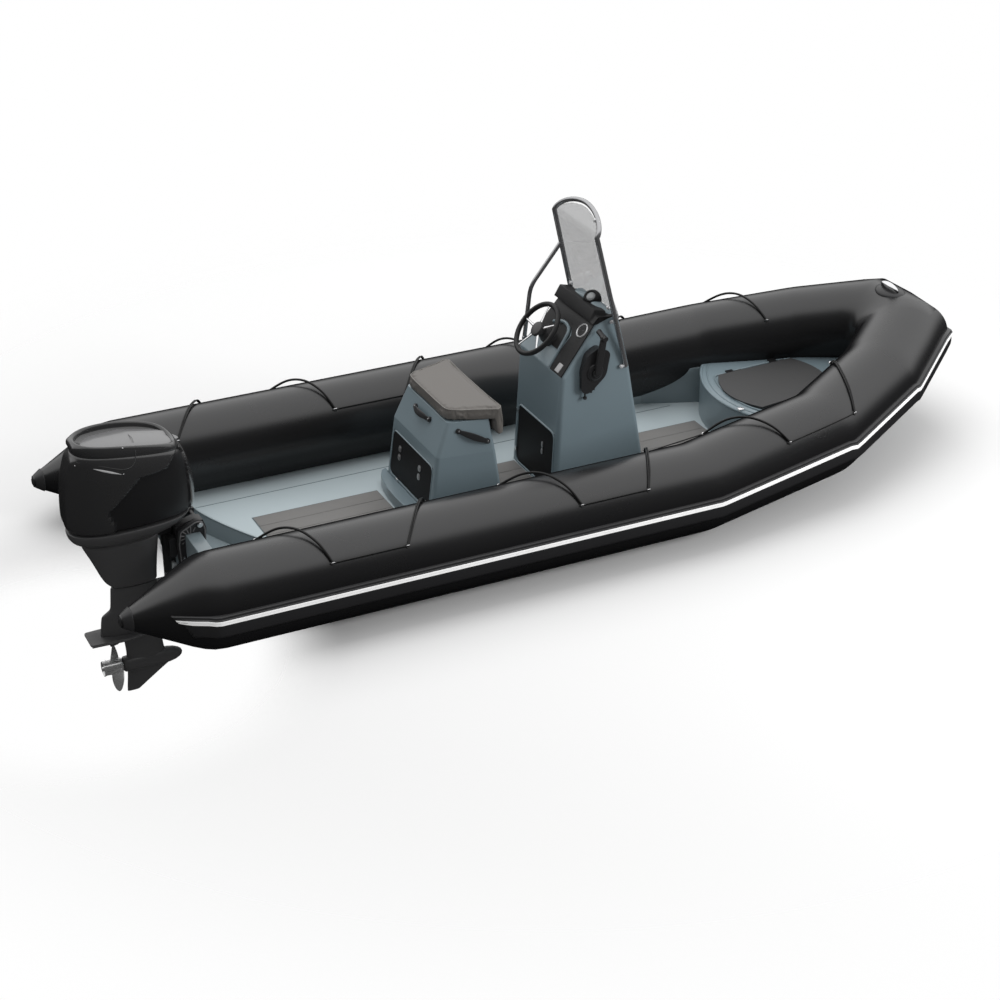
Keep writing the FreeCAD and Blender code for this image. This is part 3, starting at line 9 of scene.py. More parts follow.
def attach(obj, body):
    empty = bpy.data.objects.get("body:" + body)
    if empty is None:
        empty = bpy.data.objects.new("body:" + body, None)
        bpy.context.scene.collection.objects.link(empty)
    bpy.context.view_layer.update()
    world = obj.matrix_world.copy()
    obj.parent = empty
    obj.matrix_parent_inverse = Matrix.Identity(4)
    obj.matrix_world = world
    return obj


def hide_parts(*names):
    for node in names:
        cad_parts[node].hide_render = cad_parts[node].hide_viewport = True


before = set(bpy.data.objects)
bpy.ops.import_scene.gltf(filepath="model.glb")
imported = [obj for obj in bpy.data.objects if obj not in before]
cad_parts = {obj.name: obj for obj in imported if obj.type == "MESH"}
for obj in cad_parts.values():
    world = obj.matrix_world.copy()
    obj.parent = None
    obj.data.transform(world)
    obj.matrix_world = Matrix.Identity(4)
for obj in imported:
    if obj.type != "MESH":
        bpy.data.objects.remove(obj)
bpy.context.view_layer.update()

# ---- camera ---------------------------------------------------------------------------------
# A long lens from the starboard quarter, a little above, so that the whole boat shows with its
# cockpit open to view.


def placed(name, data):
    """A new object, linked to the scene."""
    made = bpy.data.objects.new(name, data)
    bpy.context.scene.collection.objects.link(made)
    return made


camera = placed("camera", bpy.data.cameras.new("camera"))
camera.data.sensor_width = 36.0
camera.data.lens = 76.07
camera.data.clip_end = 200.0
camera.location = (-5.249, -10.377, 6.126)
camera.rotation_euler = (math.radians(90.0 - 28.112), 0.0, math.radians(-25.783))
bpy.context.scene.camera = camera

# ---- floor and light ------------------------------------------------------------------------
# A plain pale floor at the waterline. It thins to clear round the motor's leg, which hangs
# below it, and a wide overhead light with a dark horizon shapes the tubes.

FLOOR_HALF = 9.0
WELL_SPAN, WELL_BREADTH = (-2.30, -1.70), (-0.57, 0.57)    # no floor inside the motor's well
CLEAR_CENTRE = (-3.00, -0.75, 0.0)     # middle of the clear patch
CLEAR_NEAR, CLEAR_FAR = 0.8, 1.35      # where the floor is quite clear, and quite pale again
FLOOR_FADE = (2.7, 5.2)                # where it begins to thin, and where it ends
SKY_LEAN = (0.31, 0.62, 0.72)


def shader_node(tree, kind, inputs=(), **settings):
    """A new shader node with its settings and the values of its inputs."""
    made = tree.nodes.new("ShaderNode" + kind)
    for label, value in settings.items():
        setattr(made, label, value)
    for label, value in inputs:
        made.inputs[label].default_value = value
    return made


def wire(tree, *wires):
    """Join sockets; each wire is a node, its output, a node and its input."""
    for source, given, target, taken in wires:
        tree.links.new(source.outputs[given], target.inputs[taken])


def remap(tree, low=0.0, high=1.0, first=0.0, last=1.0, way="SMOOTHSTEP"):
    """A node that turns low to high into first to last."""
    return shader_node(tree, "MapRange", (("From Min", low), ("From Max", high), ("To Min", first),
                                          ("To Max", last)), interpolation_type=way)


def colour_ramp(tree, stops):
    ramp = shader_node(tree, "ValToRGB")
    elements = ramp.color_ramp.elements
    while len(elements) < len(stops):
        elements.new(0.5)
    for element, (place, grey) in zip(elements, stops):
        element.position = place
        element.color = (grey, grey, grey, 1.0)
    return ramp


def whole(bm):
    return bm.verts[:] + bm.edges[:] + bm.faces[:]


floor_mesh = bmesh.new()
bmesh.ops.create_grid(floor_mesh, x_segments=2, y_segments=2, size=FLOOR_HALF)
for across, reaches in (((1, 0, 0), WELL_SPAN), ((0, 1, 0), WELL_BREADTH)):
    for reach in reaches:
        bmesh.ops.bisect_plane(floor_mesh, geom=whole(floor_mesh), plane_no=across,
                               plane_co=Vector(across) * reach)
in_well = [f for f in floor_mesh.faces if WELL_SPAN[0] < f.calc_center_median().x < WELL_SPAN[1]
           and WELL_BREADTH[0] < f.calc_center_median().y < WELL_BREADTH[1]]
bmesh.ops.delete(floor_mesh, geom=in_well, context="FACES")
floor_data = bpy.data.meshes.new("floor")
floor_mesh.to_mesh(floor_data)
floor_mesh.free()
floor = placed("floor", floor_data)
floor_paint = bpy.data.materials.new("floor")
floor_paint.use_nodes = True
tree = floor_paint.node_tree
place = shader_node(tree, "TexCoord")
away = shader_node(tree, "VectorMath", [(1, CLEAR_CENTRE)], operation="DISTANCE")
fade = remap(tree, CLEAR_NEAR, CLEAR_FAR)
from_middle = shader_node(tree, "VectorMath", operation="LENGTH")
thin = remap(tree, *FLOOR_FADE, 1.0, 0.0)
both_fades = shader_node(tree, "Math", operation="MULTIPLY")
shader = tree.nodes["Principled BSDF"]
wire(tree, (place, "Object", away, 0), (away, "Value", fade, "Value"),
     (place, "Object", from_middle, 0), (from_middle, "Value", thin, "Value"),
     (fade, "Result", both_fades, 0), (thin, "Result", both_fades, 1),
     (both_fades, "Value", shader, "Alpha"))
shader.inputs["Base Color"].default_value = (0.66, 0.66, 0.66, 1.0)
shader.inputs["Roughness"].default_value = 0.9
shader.inputs["Specular IOR Level"].default_value = 0.0
floor_data.materials.append(floor_paint)
floor.visible_glossy = False
floor.visible_diffuse = False

world = bpy.data.worlds.new("studio")
bpy.context.scene.world = world
world.use_nodes = True
tree = world.node_tree
sky_place = shader_node(tree, "TexCoord")
sky_split = shader_node(tree, "SeparateXYZ")
sky_lift = remap(tree, -1.0, way="LINEAR")
sky_lean = shader_node(tree, "VectorMath", [(1, SKY_LEAN)], operation="DOT_PRODUCT")
gloss_tone = colour_ramp(tree, [(0.0, 0.03), (0.585, 0.05), (0.68, 1.25), (1.0, 1.25)])
horizon = colour_ramp(tree, [(0.0, 0.02), (0.50, 0.04), (0.64, 1.0), (1.0, 1.0)])
sky_tone = colour_ramp(tree, [(0.0, 0.44), (0.5, 0.60), (1.0, 0.82)])
sky_dark = shader_node(tree, "VectorMath", operation="MULTIPLY")    # dark below the horizon
sky_seen = shader_node(tree, "LightPath")
sky_gloss = shader_node(tree, "Mix", data_type="RGBA")
sky_pick = shader_node(tree, "Mix", [("B", (1.0, 1.0, 1.0, 1.0))], data_type="RGBA")
sky_turn = remap(tree, -1.0, way="LINEAR")
background = tree.nodes["Background"]
wire(tree, (sky_place, "Generated", sky_split, "Vector"), (sky_place, "Generated", sky_lean, 0),
     (sky_split, "Z", sky_lift, "Value"), (sky_lift, "Result", sky_tone, "Fac"),
     (sky_lean, "Value", sky_turn, "Value"), (sky_turn, "Result", gloss_tone, "Fac"),
     (sky_tone, "Color", sky_gloss, "A"), (sky_lift, "Result", horizon, "Fac"),
     (gloss_tone, "Color", sky_dark, 0), (horizon, "Color", sky_dark, 1),
     (sky_dark, "Vector", sky_gloss, "B"), (sky_seen, "Is Glossy Ray", sky_gloss, "Factor"),
     (sky_gloss, "Result", sky_pick, "A"), (sky_seen, "Is Camera Ray", sky_pick, "Factor"),
     (sky_pick, "Result", background, "Color"))
background.inputs["Strength"].default_value = 1.0

for lamp_name, lamp_place, aim, lamp_size, watts in (
        ("top_light", (0.0, 3.3, 9.0), (0.0, 0.0, 0.0), 11.0, 800.0),
        ("side_light", (7.0, -7.0, 4.0), (0.3, 0.0, 0.5), 4.0, 720.0)):
    lamp = placed(lamp_name, bpy.data.lights.new(lamp_name, "AREA"))
    lamp.data.size = lamp_size
    lamp.data.energy = watts
    lamp.location = lamp_place
    lamp.rotation_euler = (Vector(aim) - Vector(lamp_place)).to_track_quat("-Z", "Y").to_euler()
    lamp.visible_glossy = False
bpy.context.scene.view_settings.view_transform = "Standard"

# ---- buoyancy tubes -------------------------------------------------------------------------
# Black coated fabric, cut as straight barrels and welded at each bend of the bow, with long
# tapered cones at the stern. One closed ring of air chambers, glued to the hull's flange.

AMIDSHIPS = 2.9          # places count forward from the cones' tips, and up from the tubes' axis
AXIS_HEIGHT = 0.285
TUBE_RADIUS = 0.27
TIP_RADIUS = 0.034
CONE_LENGTH = 0.45
BEND_SOFTNESS = 0.05
TUBE_LINE = [(0.45, 0.888, 0.0), (3.517, 0.888, 0.0), (4.491, 0.745, 0.087),
             (5.094, 0.465, 0.206), (5.495, 0.156, 0.308), (5.495, -0.156, 0.308)]
TUBE_SIDES = 72


def afloat(station, port, height):
    """The boat's own origin is amidships at the waterline."""
    return Vector((station - AMIDSHIPS, port, height + AXIS_HEIGHT))


def outwards(*meshes):
    """Turn every face of some bmeshes to look out."""
    for bm in meshes:
        bmesh.ops.recalc_face_normals(bm, faces=bm.faces)


def extruded_to(bm, ring, places, closed=True):
    """Extrude a ring of vertices and put the new ring at places."""
    pairs = list(zip(ring, ring[1:] + ring[:1])) if closed else list(zip(ring, ring[1:]))
    edges = [bm.edges.get(pair) or bm.edges.new(pair) for pair in pairs]
    grown = bmesh.ops.extrude_edge_only(bm, edges=edges)["geom"]
    fresh = {v for v in grown if isinstance(v, bmesh.types.BMVert)}
    following = []
    for vertex, spot in zip(ring, places):
        mate = next(e.other_vert(vertex) for e in vertex.link_edges
                    if e.other_vert(vertex) in fresh)
        mate.co = spot
        following.append(mate)
    return following


def lofted(rings, ends=True, closed=True, bm=None):
    """Skin through rings of places, each extruded from the one before."""
    bm = bm or bmesh.new()
    ring = [bm.verts.new(spot) for spot in rings[0]]
    first = ring
    for places in rings[1:]:
        ring = extruded_to(bm, ring, places, closed)
    if ends:
        bmesh.ops.contextual_create(bm, geom=first)
        bmesh.ops.contextual_create(bm, geom=ring)
    outwards(bm)
    return bm


def run_axes(index):
    """Direction, outward and upward of one straight run of the port tube."""
    start, end = Vector(TUBE_LINE[index]), Vector(TUBE_LINE[index + 1])
    direction = (end - start).normalized()
    outward = -direction.cross(Vector((0, 0, 1))).normalized()
    return direction, outward, -outward.cross(direction).normalized()


def mitre(index):
    """Normal of the plane where two runs meet."""
    if index == 0:
        return run_axes(0)[0]
    return (run_axes(index - 1)[0] + run_axes(index)[0]).normalized()


def cut_outline(index, centre, normal, outline):
    """Outline beside a run's axis, slid along the run on to a plane."""
    direction, outward, upward = run_axes(index)
    places = []
    for out, up in outline:
        arm = outward * out + upward * up
        arm -= direction * (arm.dot(normal) / direction.dot(normal))
        places.append(afloat(*(centre + arm)))
    return places


def band_rings(outline, start, soft=BEND_SOFTNESS):
    """Rings of an outline that follows the port tube from start to the middle of the bow."""
    last = len(TUBE_LINE) - 2
    rings = [cut_outline(0, Vector((start, TUBE_LINE[0][1], 0)), run_axes(0)[0], outline)]
    for index in range(1, last + 1):
        corner = Vector(TUBE_LINE[index])
        before, after = run_axes(index - 1)[0], run_axes(index)[0]
        plane = mitre(index)
        turn = before.angle(after) / 2
        inward = (after - before).normalized() * (soft * math.tan(turn) / 2)
        reach = TUBE_RADIUS * math.tan(turn)
        for share, lean in ((1.0, 0.0), (0.45, 0.6)):
            gap = (soft + reach) * share
            rings.append(cut_outline(index - 1, corner - before * gap,
                                     before.lerp(plane, lean), outline))
        rings.append(cut_outline(index, corner + inward, plane, outline))
        spans = ((0.45, 0.6), (1.0, 0.0)) if index < last else ()
        for share, lean in spans:
            gap = (soft + reach) * share
            rings.append(cut_outline(index, corner + after * gap,
                                     after.lerp(plane, lean), outline))
    middle = (Vector(TUBE_LINE[last]) + Vector(TUBE_LINE[last + 1])) / 2
    rings.append(cut_outline(last, middle, Vector((0, -1, 0)), outline))
    return rings


def angles(count):
    """Angles spread evenly over a full turn."""
    return [2 * math.pi * k / count for k in range(count)]


def circle(radius):
    return [(radius * math.cos(a), radius * math.sin(a)) for a in angles(TUBE_SIDES)]


def both_boards(bm):
    """Add the starboard half and weld it to the port half on the centreline."""
    bmesh.ops.mirror(bm, geom=whole(bm), axis="Y", merge_dist=0.0005)
    outwards(bm)


def grain_group():
    """Fine grain and slow mottling, shared by every finish."""
    group = bpy.data.node_groups.new("grain", "ShaderNodeTree")
    face = group.interface
    for label, kind, value in (("Colour", "NodeSocketColor", (0.5, 0.5, 0.5, 1.0)),
                               ("Roughness", "NodeSocketFloat", 0.5),
                               ("Mottle", "NodeSocketFloat", 0.1),
                               ("Patch Size", "NodeSocketFloat", 3.0),
                               ("Grain Size", "NodeSocketFloat", 400.0),
                               ("Grain Depth", "NodeSocketFloat", 0.2)):
        face.new_socket(label, in_out="INPUT", socket_type=kind).default_value = value
    for label, kind in (("Colour", "NodeSocketColor"), ("Roughness", "NodeSocketFloat"),
                        ("Normal", "NodeSocketVector")):
        face.new_socket(label, in_out="OUTPUT", socket_type=kind)
    given, out = group.nodes.new("NodeGroupInput"), group.nodes.new("NodeGroupOutput")
    where = shader_node(group, "TexCoord")
    patches = shader_node(group, "TexNoise", [("Detail", 6.0)])
    grains = shader_node(group, "TexNoise")
    swing = remap(group, first=-1.0, way="LINEAR")      # noise to -1 .. 1
    shade = shader_node(group, "Math", [(2, 1.0)], operation="MULTIPLY_ADD")
    rough = shader_node(group, "Math", operation="MULTIPLY_ADD")
    tint = shader_node(group, "VectorMath", operation="SCALE")
    bump = shader_node(group, "Bump", [("Distance", 0.0004)])
    for texture, size in ((patches, "Patch Size"), (grains, "Grain Size")):
        wire(group, (where, "Object", texture, "Vector"), (given, size, texture, "Scale"))
    wire(group, (patches, "Fac", swing, "Value"), (swing, "Result", shade, 0),
         (given, "Mottle", shade, 1), (given, "Colour", tint, 0), (shade, "Value", tint, "Scale"),
         (tint, "Vector", out, "Colour"), (swing, "Result", rough, 0), (given, "Mottle", rough, 1),
         (given, "Roughness", rough, 2), (rough, "Value", out, "Roughness"),
         (grains, "Fac", bump, "Height"), (given, "Grain Depth", bump, "Strength"),
         (bump, "Normal", out, "Normal"))
    return group


GRAIN = grain_group()


def finish(name, colour, roughness, depth=0.15, size=420.0, mottle=0.05, patch=2.5, **sockets):
    """A material whose colour, gloss and grain come from the shared group."""
    material = bpy.data.materials.new(name)
    material.use_nodes = True
    tree = material.node_tree
    shader = tree.nodes["Principled BSDF"]
    skin = tree.nodes.new("ShaderNodeGroup")
    skin.node_tree = GRAIN
    for label, value in (("Colour", (*colour, 1.0)), ("Roughness", roughness),
                         ("Mottle", mottle), ("Patch Size", patch),
                         ("Grain Size", size), ("Grain Depth", depth)):
        skin.inputs[label].default_value = value
    wire(tree, (skin, "Colour", shader, "Base Color"), (skin, "Roughness", shader, "Roughness"),
         (skin, "Normal", shader, "Normal"))
    for label, value in sockets.items():
        shader.inputs[label.replace("_", " ")].default_value = value
    return material


def piece(name, bm, material, body="boat", instead_of=(), sharp=35.0):
    """Turn a bmesh into a named piece that rides on a body of the boat."""
    mesh = bpy.data.meshes.new(name)
    bm.to_mesh(mesh)
    bm.free()
    mesh.shade_smooth()
    mesh.set_sharp_from_angle(angle=math.radians(sharp))
    mesh.materials.append(material)
    made = placed(name, mesh)
    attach(made, body)
    if instead_of:
        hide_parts(*instead_of)
    return made


tube_fabric = finish("tube_fabric", (0.008, 0.008, 0.0085), 0.28, depth=0.12, size=900.0, patch=1.5,
                     Specular_IOR_Level=0.75)
tree = tube_fabric.node_tree
rim = shader_node(tree, "LayerWeight")
glancing_shade = remap(tree, 0.60, 0.84, 0.75, 0.0)        # painted shade: the reflection is taken off where the tube is seen at a glancing angle, so its edges go dark
skin_way, skin_up = shader_node(tree, "NewGeometry"), shader_node(tree, "SeparateXYZ")
below = remap(tree, -0.25, 0.25, 0.35)            # painted shade: the reflection fades over the lower half, which darkens the tube's underside
shaded_gloss = shader_node(tree, "Math", operation="MULTIPLY")
wire(tree, (rim, "Facing", glancing_shade, "Value"), (skin_way, "Normal", skin_up, "Vector"),
     (skin_up, "Z", below, "Value"), (glancing_shade, "Result", shaded_gloss, 0), (below, "Result", shaded_gloss, 1),
     (shaded_gloss, "Value", tree.nodes["Principled BSDF"], "Specular IOR Level"))
tube_rings = []
for station in (0.0, 0.2, 0.36, 0.42, 0.47, 0.53):
    full = TIP_RADIUS + (TUBE_RADIUS - TIP_RADIUS) * min(1.0, station / CONE_LENGTH)
    radius = full - 0.008 * max(0.0, 1 - abs(station - CONE_LENGTH) / 0.08)
    tube_rings.append(cut_outline(0, Vector((station, TUBE_LINE[0][1], 0)),
                                  Vector((1, 0, 0)), circle(radius)))
tube_rings += band_rings(circle(TUBE_RADIUS), 1.2)
tubes = lofted(tube_rings, ends=False)
aft_edges = [e for e in tubes.edges if e.is_boundary
             and all(v.co.x < AMIDSHIPS * -0.99 for v in e.verts)]
bmesh.ops.contextual_create(tubes, geom=aft_edges)
both_boards(tubes)
piece("tube_skin", tubes, tube_fabric,
      instead_of=("tube_port", "tube_starboard", "tube_nose"))

# ---- cone caps ------------------------------------------------------------------------------
# Moulded black rubber thimbles, glued over the tips of the stern cones; each is one profile spun
# about the cone's axis.

CAP_LENGTH = 0.058
CAP_WALL = 0.005
cap_rubber = finish("cap_rubber", (0.02, 0.02, 0.021), 0.38, depth=0.1)
lip = TIP_RADIUS + CAP_WALL + CAP_LENGTH * (TUBE_RADIUS - TIP_RADIUS) / CONE_LENGTH
CAP_PROFILE = [(-0.008, 0.0), (-0.006, 0.018), (0.002, 0.033), (0.012, 0.042),
               (CAP_LENGTH - 0.004, lip), (CAP_LENGTH, lip - 0.002), (CAP_LENGTH, lip - 0.012)]
caps = bmesh.new()
profile = [caps.verts.new(afloat(x, TUBE_LINE[0][1] + r, 0)) for x, r in CAP_PROFILE]
edges = [caps.edges.new(pair) for pair in zip(profile, profile[1:])]
bmesh.ops.spin(caps, geom=profile + edges, cent=afloat(0, TUBE_LINE[0][1], 0), axis=(1, 0, 0),
               angle=2 * math.pi, steps=40, use_merge=True)
bmesh.ops.remove_doubles(caps, verts=caps.verts, dist=0.0002)
both_boards(caps)
piece("cone_thimbles", caps, cap_rubber, instead_of=("cone_caps",))

# ---- rubbing strake and its stripe ------------------------------------------------------------
# Extruded black rubber, glued round the outside of the tubes, with a white cord of rubber let
# into its groove. Its aft ends are cut on a slant.

STRAKE_PROFILE = [(0.2, -0.075), (0.262, -0.075), (0.282, -0.072), (0.2915, -0.064),
                  (0.2955, -0.052), (0.2955, -0.030), (0.294, -0.006), (0.2925, 0.003),
                  (0.2895, 0.0065), (0.2895, 0.0335), (0.2925, 0.035), (0.2925, 0.038),
                  (0.2895, 0.0395), (0.2865, 0.0415), (0.2875, 0.045), (0.284, 0.0515),
                  (0.275, 0.055), (0.2, 0.055)]
STRIPE_PROFILE = [(0.282, 0.0075), (0.2935, 0.0075), (0.2955, 0.009), (0.296, 0.0150),
                  (0.2955, 0.0170), (0.2915, 0.0178), (0.2915, 0.0212), (0.2955, 0.0220),
                  (0.296, 0.024), (0.2955, 0.031), (0.2935, 0.0325), (0.282, 0.0325)]
STRAKE_START = 0.235
STRAKE_SLANT = 0.75
strake_rubber = finish("strake_rubber", (0.016, 0.016, 0.017), 0.33, depth=0.1, size=500.0)
stripe_rubber = finish("stripe_rubber", (0.88, 0.88, 0.88), 0.4, depth=0.05)
for band_name, outline, rubber, slot_name, ahead in (
        ("strake_band", STRAKE_PROFILE, strake_rubber, "strake_rubber", 0.0),
        ("strake_stripe", STRIPE_PROFILE, stripe_rubber, "stripe_pale", 0.001)):
    rings = []
    for station in (STRAKE_START + ahead, 0.33, 0.38, 0.41, 0.44, 0.47, 0.50):
        ease = max(0.0, CONE_LENGTH + 0.02 - station)
        draw = (TUBE_RADIUS - TIP_RADIUS) / CONE_LENGTH * ease * min(1.0, ease / 0.05)
        rings.append(cut_outline(0, Vector((station, TUBE_LINE[0][1], 0)), run_axes(0)[0],
                                 [(out - draw, up) for out, up in outline]))
    band = lofted(rings + band_rings(outline, 0.9, soft=0.03))
    for vertex in band.verts:
        drop = AXIS_HEIGHT + 0.055 - vertex.co.z
        if vertex.co.x < afloat(STRAKE_START + 0.01, 0, 0).x:
            vertex.co.x += STRAKE_SLANT * drop
    end_faces = [f for f in band.faces if all(abs(v.co.y) < 0.0005 for v in f.verts)]
    bmesh.ops.delete(band, geom=end_faces, context="FACES_ONLY")
    both_boards(band)
    what = "strake" if rubber is strake_rubber else "stripe"
    piece(band_name, band, rubber, instead_of=(what + "_port", what + "_starboard"))

# ---- lifelines ------------------------------------------------------------------------------
# Black cord led from eye to eye and woven over the crown of each tube. It stands up in a hose
# where it arches and lies doubled where it hugs the tube; the eyes are small plated hooks.

ROPE_THIN = 0.0038
ROPE_DOUBLED = 0.0048
ROPE_HOSE = 0.0074
EYE_INBOARD, EYE_OUTBOARD = 139.0, 41.0      # degrees round the tube from its outboard side
EYE_STATIONS = [                # station on the tube's axis, True where the eye is outboard
    (0.845, False), (1.135, True), (1.575, True), (1.860, False), (2.330, False), (2.650, True),
    (3.080, True), (3.290, False), (3.757, False), (4.070, True), (4.545, True), (4.905, False)]
ARCHED_PASS = [(0.22, 12, 0.026), (0.45, 27, 0.036), (0.65, 46, 0.034), (0.82, 67, 0.024),
               (0.93, 84, 0.015)]            # share of the way, degrees swept, height
CLOSE_PASS = [(0.2, 20, 0.013), (0.4, 39, 0.013), (0.6, 57, 0.015), (0.78, 72, 0.022),
              (0.9, 86, 0.020)]
EYE_HEIGHT = 0.0085
STRAND_GAP = 0.0056


def beside_tube(station, degrees, height):
    """Place beside the port tube, with the way up off its skin there."""
    index = 0
    while index < len(TUBE_LINE) - 3 and station > TUBE_LINE[index + 1][0]:
        index += 1
    direction, outward, upward = run_axes(index)
    start = Vector(TUBE_LINE[index])
    centre = start + direction * ((station - start.x) / direction.x)
    turn = math.radians(degrees)
    off = outward * math.cos(turn) + upward * math.sin(turn)
    return afloat(*(centre + off * (TUBE_RADIUS + height))), off, direction


def cord_mesh(bm, points, radius, sides=10):
    """A round cord on one smooth line through the pull of its points."""
    line = bpy.data.curves.new("line", "CURVE")
    line.dimensions = "3D"
    line.bevel_depth = radius
    line.bevel_resolution = sides // 2 - 2
    line.resolution_u = 8
    line.use_fill_caps = True
    spline = line.splines.new("NURBS")
    spline.points.add(len(points) - 1)
    for point, spot in zip(spline.points, points):
        point.co = (*spot, 1.0)
    spline.order_u = 3
    spline.use_endpoint_u = True
    holder = bpy.data.objects.new("line", line)
    mesh = bpy.data.meshes.new_from_object(holder)
    bm.from_mesh(mesh)
    bpy.data.objects.remove(holder)
    bpy.data.curves.remove(line)
    bpy.data.meshes.remove(mesh)


rope_black = finish("rope_black", (0.005, 0.005, 0.005), 0.45, depth=0.6, size=1400.0,
                    Specular_IOR_Level=0.35)
plated = finish("plated_steel", (0.78, 0.78, 0.79), 0.16, depth=0.02, mottle=0.02, Metallic=1.0)
hooks = bmesh.new()
feet = bmesh.new()
for side, arched_first, board in (("port", False, 1), ("starboard", True, -1)):
    rope = bmesh.new()
    arched = arched_first
    for (station, outer), (onward, onward_outer) in zip(EYE_STATIONS, EYE_STATIONS[1:]):
        angle = EYE_OUTBOARD if outer else EYE_INBOARD
        spots = [(station, angle, EYE_HEIGHT)]
        if onward_outer == outer:
            bends = [p[0] for p in TUBE_LINE if outer and station < p[0] < onward]
            spots += [(bend, angle, 0.014) for bend in bends]
            radius = ROPE_THIN
        else:
            sweep = 1 if outer else -1
            spots += [(station + share * (onward - station), angle + sweep * swept, lift)
                      for share, swept, lift in (ARCHED_PASS if arched else CLOSE_PASS)]
            radius = ROPE_HOSE if arched else ROPE_DOUBLED
            arched = not arched
        spots.append((onward, EYE_OUTBOARD if onward_outer else EYE_INBOARD, EYE_HEIGHT))
        doubled = radius == ROPE_DOUBLED
        for shift in ((-STRAND_GAP, STRAND_GAP) if doubled else (0.0,)):
            points = []
            for count, (x, degrees, lift) in enumerate(spots):
                spread = shift * (1.0 if 0 < count < len(spots) - 1 else 0.4)
                points.append(beside_tube(x + spread, degrees, lift)[0])
            cord_mesh(rope, points, radius)
    for vertex in rope.verts:
        vertex.co.y *= board
    if board < 0:
        bmesh.ops.reverse_faces(rope, faces=rope.faces)
    piece("lifeline_rope_" + side, rope, rope_black,
          instead_of=("lifeline_" + side,), sharp=60)
for board in (1, -1):
    for station, outer in EYE_STATIONS:
        place, off, along = beside_tube(station, EYE_OUTBOARD if outer else EYE_INBOARD, 0.0)
        across = off.cross(along).normalized()
        turn = Matrix((along, across, off)).transposed().to_4x4()
        turn.translation = place
        flip = Matrix.Diagonal((1, board, 1, 1))
        bmesh.ops.create_cone(feet, cap_ends=True, segments=20, radius1=0.016, radius2=0.011,
                              depth=0.008, matrix=flip @ turn @ Matrix.Translation((0, 0, 0.001)))
        arch = [turn @ Vector((0.013 * math.cos(a), 0, 0.004 + 0.013 * math.sin(a)))
                for a in (math.radians(d) for d in range(0, 181, 30))]
        cord_mesh(hooks, [flip @ p for p in arch], 0.0034, sides=8)
outwards(hooks, feet)
piece("line_hooks", hooks, plated, instead_of=("line_eyes",))
piece("line_eye_pads", feet, cap_rubber)

# ---- hull, transom and deck -------------------------------------------------------------------
# Glass fibre mouldings. The hull and transom are one laminate in gloss gelcoat; the deck is a
# paler one with a slip-proof surface, bonded in, and the motor's well in it is dark again.

hull_gelcoat = finish("hull_gelcoat", (0.15, 0.185, 0.20), 0.3, depth=0.03, mottle=0.03,
                      Coat_Weight=0.3, Coat_Roughness=0.12)
deck_gelcoat = finish("deck_gelcoat", (0.355, 0.41, 0.43), 0.4, depth=0.2, size=260.0,
                      mottle=0.035)
console_gelcoat = finish("console_gelcoat", (0.145, 0.188, 0.210), 0.33, depth=0.04, mottle=0.035,
                         Coat_Weight=0.25, Coat_Roughness=0.15)


def dress(node, material):
    """A shape from the frame keeps its mesh and gets a better finish."""
    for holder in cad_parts[node].material_slots:
        holder.material = material


def rounded(bm, edges, width, segments):
    bmesh.ops.bevel(bm, geom=edges, offset=width, offset_type="OFFSET", segments=segments,
                    profile=0.5, affect="EDGES", material=-1, clamp_overlap=True)


def even_shading(made):
    """Flat faces shade flat beside their rounded corners."""
    weigh = made.modifiers.new("even_shading", "WEIGHTED_NORMAL")
    weigh.keep_sharp = True


def eased(node, name, width, material, body="boat", segments=3, angle=30.0):
    """A frame shape, copied and merged, with its corners rounded."""
    bm = bmesh.new()
    bm.from_mesh(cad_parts[node].data)
    bmesh.ops.remove_doubles(bm, verts=bm.verts, dist=0.00005)
    bmesh.ops.dissolve_limit(bm, angle_limit=math.radians(1.0), verts=bm.verts, edges=bm.edges)
    corners = [e for e in bm.edges if len(e.link_faces) == 2
               and e.calc_face_angle(0.0) > math.radians(angle)]
    rounded(bm, corners, width, segments)
    made = piece(name, bm, material, body=body, instead_of=(node,), sharp=40)
    even_shading(made)
    return made


dress("hull", hull_gelcoat)
dress("deck", deck_gelcoat)
well_gelcoat = finish("well_gelcoat", (0.145, 0.178, 0.192), 0.36, depth=0.1, mottle=0.03)
dress("motor_well", well_gelcoat)
eased("transom", "transom_board", 0.008, hull_gelcoat)

DECK_HEIGHT = -0.200
WATERWAY_HALF = 0.510
PAD_HALF = 0.240
WELL_CENTRE, WELL_RADIUS, WELL_HALF = 0.400, 0.700, 0.530
seam_grey = finish("seam_grey", (0.10, 0.13, 0.14), 0.6, depth=0.1)


def slab(bm, low, high):
    """A block between two corners, given as stations, breadths and heights."""
    low, high = afloat(*low), afloat(*high)
    size = high - low
    centre = (low + high) / 2
    bmesh.ops.create_cube(bm, size=1.0, matrix=Matrix.Translation(centre)
                          @ Matrix.Diagonal((*size, 1.0)))


def side_strips(bm, span, breadths, heights):
    """A block on each board of the deck, between two breadths."""
    for side in (-1, 1):
        near, far = sorted(side * breadth for breadth in breadths)
        slab(bm, (span[0], near, heights[0]), (span[1], far, heights[1]))


seams = bmesh.new()
side_strips(seams, (0.80, 4.16), (WATERWAY_HALF - 0.0025, WATERWAY_HALF + 0.0025),
            (DECK_HEIGHT - 0.004, DECK_HEIGHT + 0.0012))
outwards(seams)
piece("deck_seams", seams, seam_grey)

WELL_CORNER, WELL_APEX, WELL_SHARPNESS = 0.865, 1.088, 1.35
WALL_DROP, WALL_SLOPE = 0.089, 0.045     # the well's fore wall is a slope down to its floor


def well_edge(y):
    """Station of the deck's edge, which runs aft from the middle to each side of the well."""
    bell = (1 - abs(y) / WELL_HALF) ** WELL_SHARPNESS
    return WELL_CORNER + (WELL_APEX - WELL_CORNER) * bell


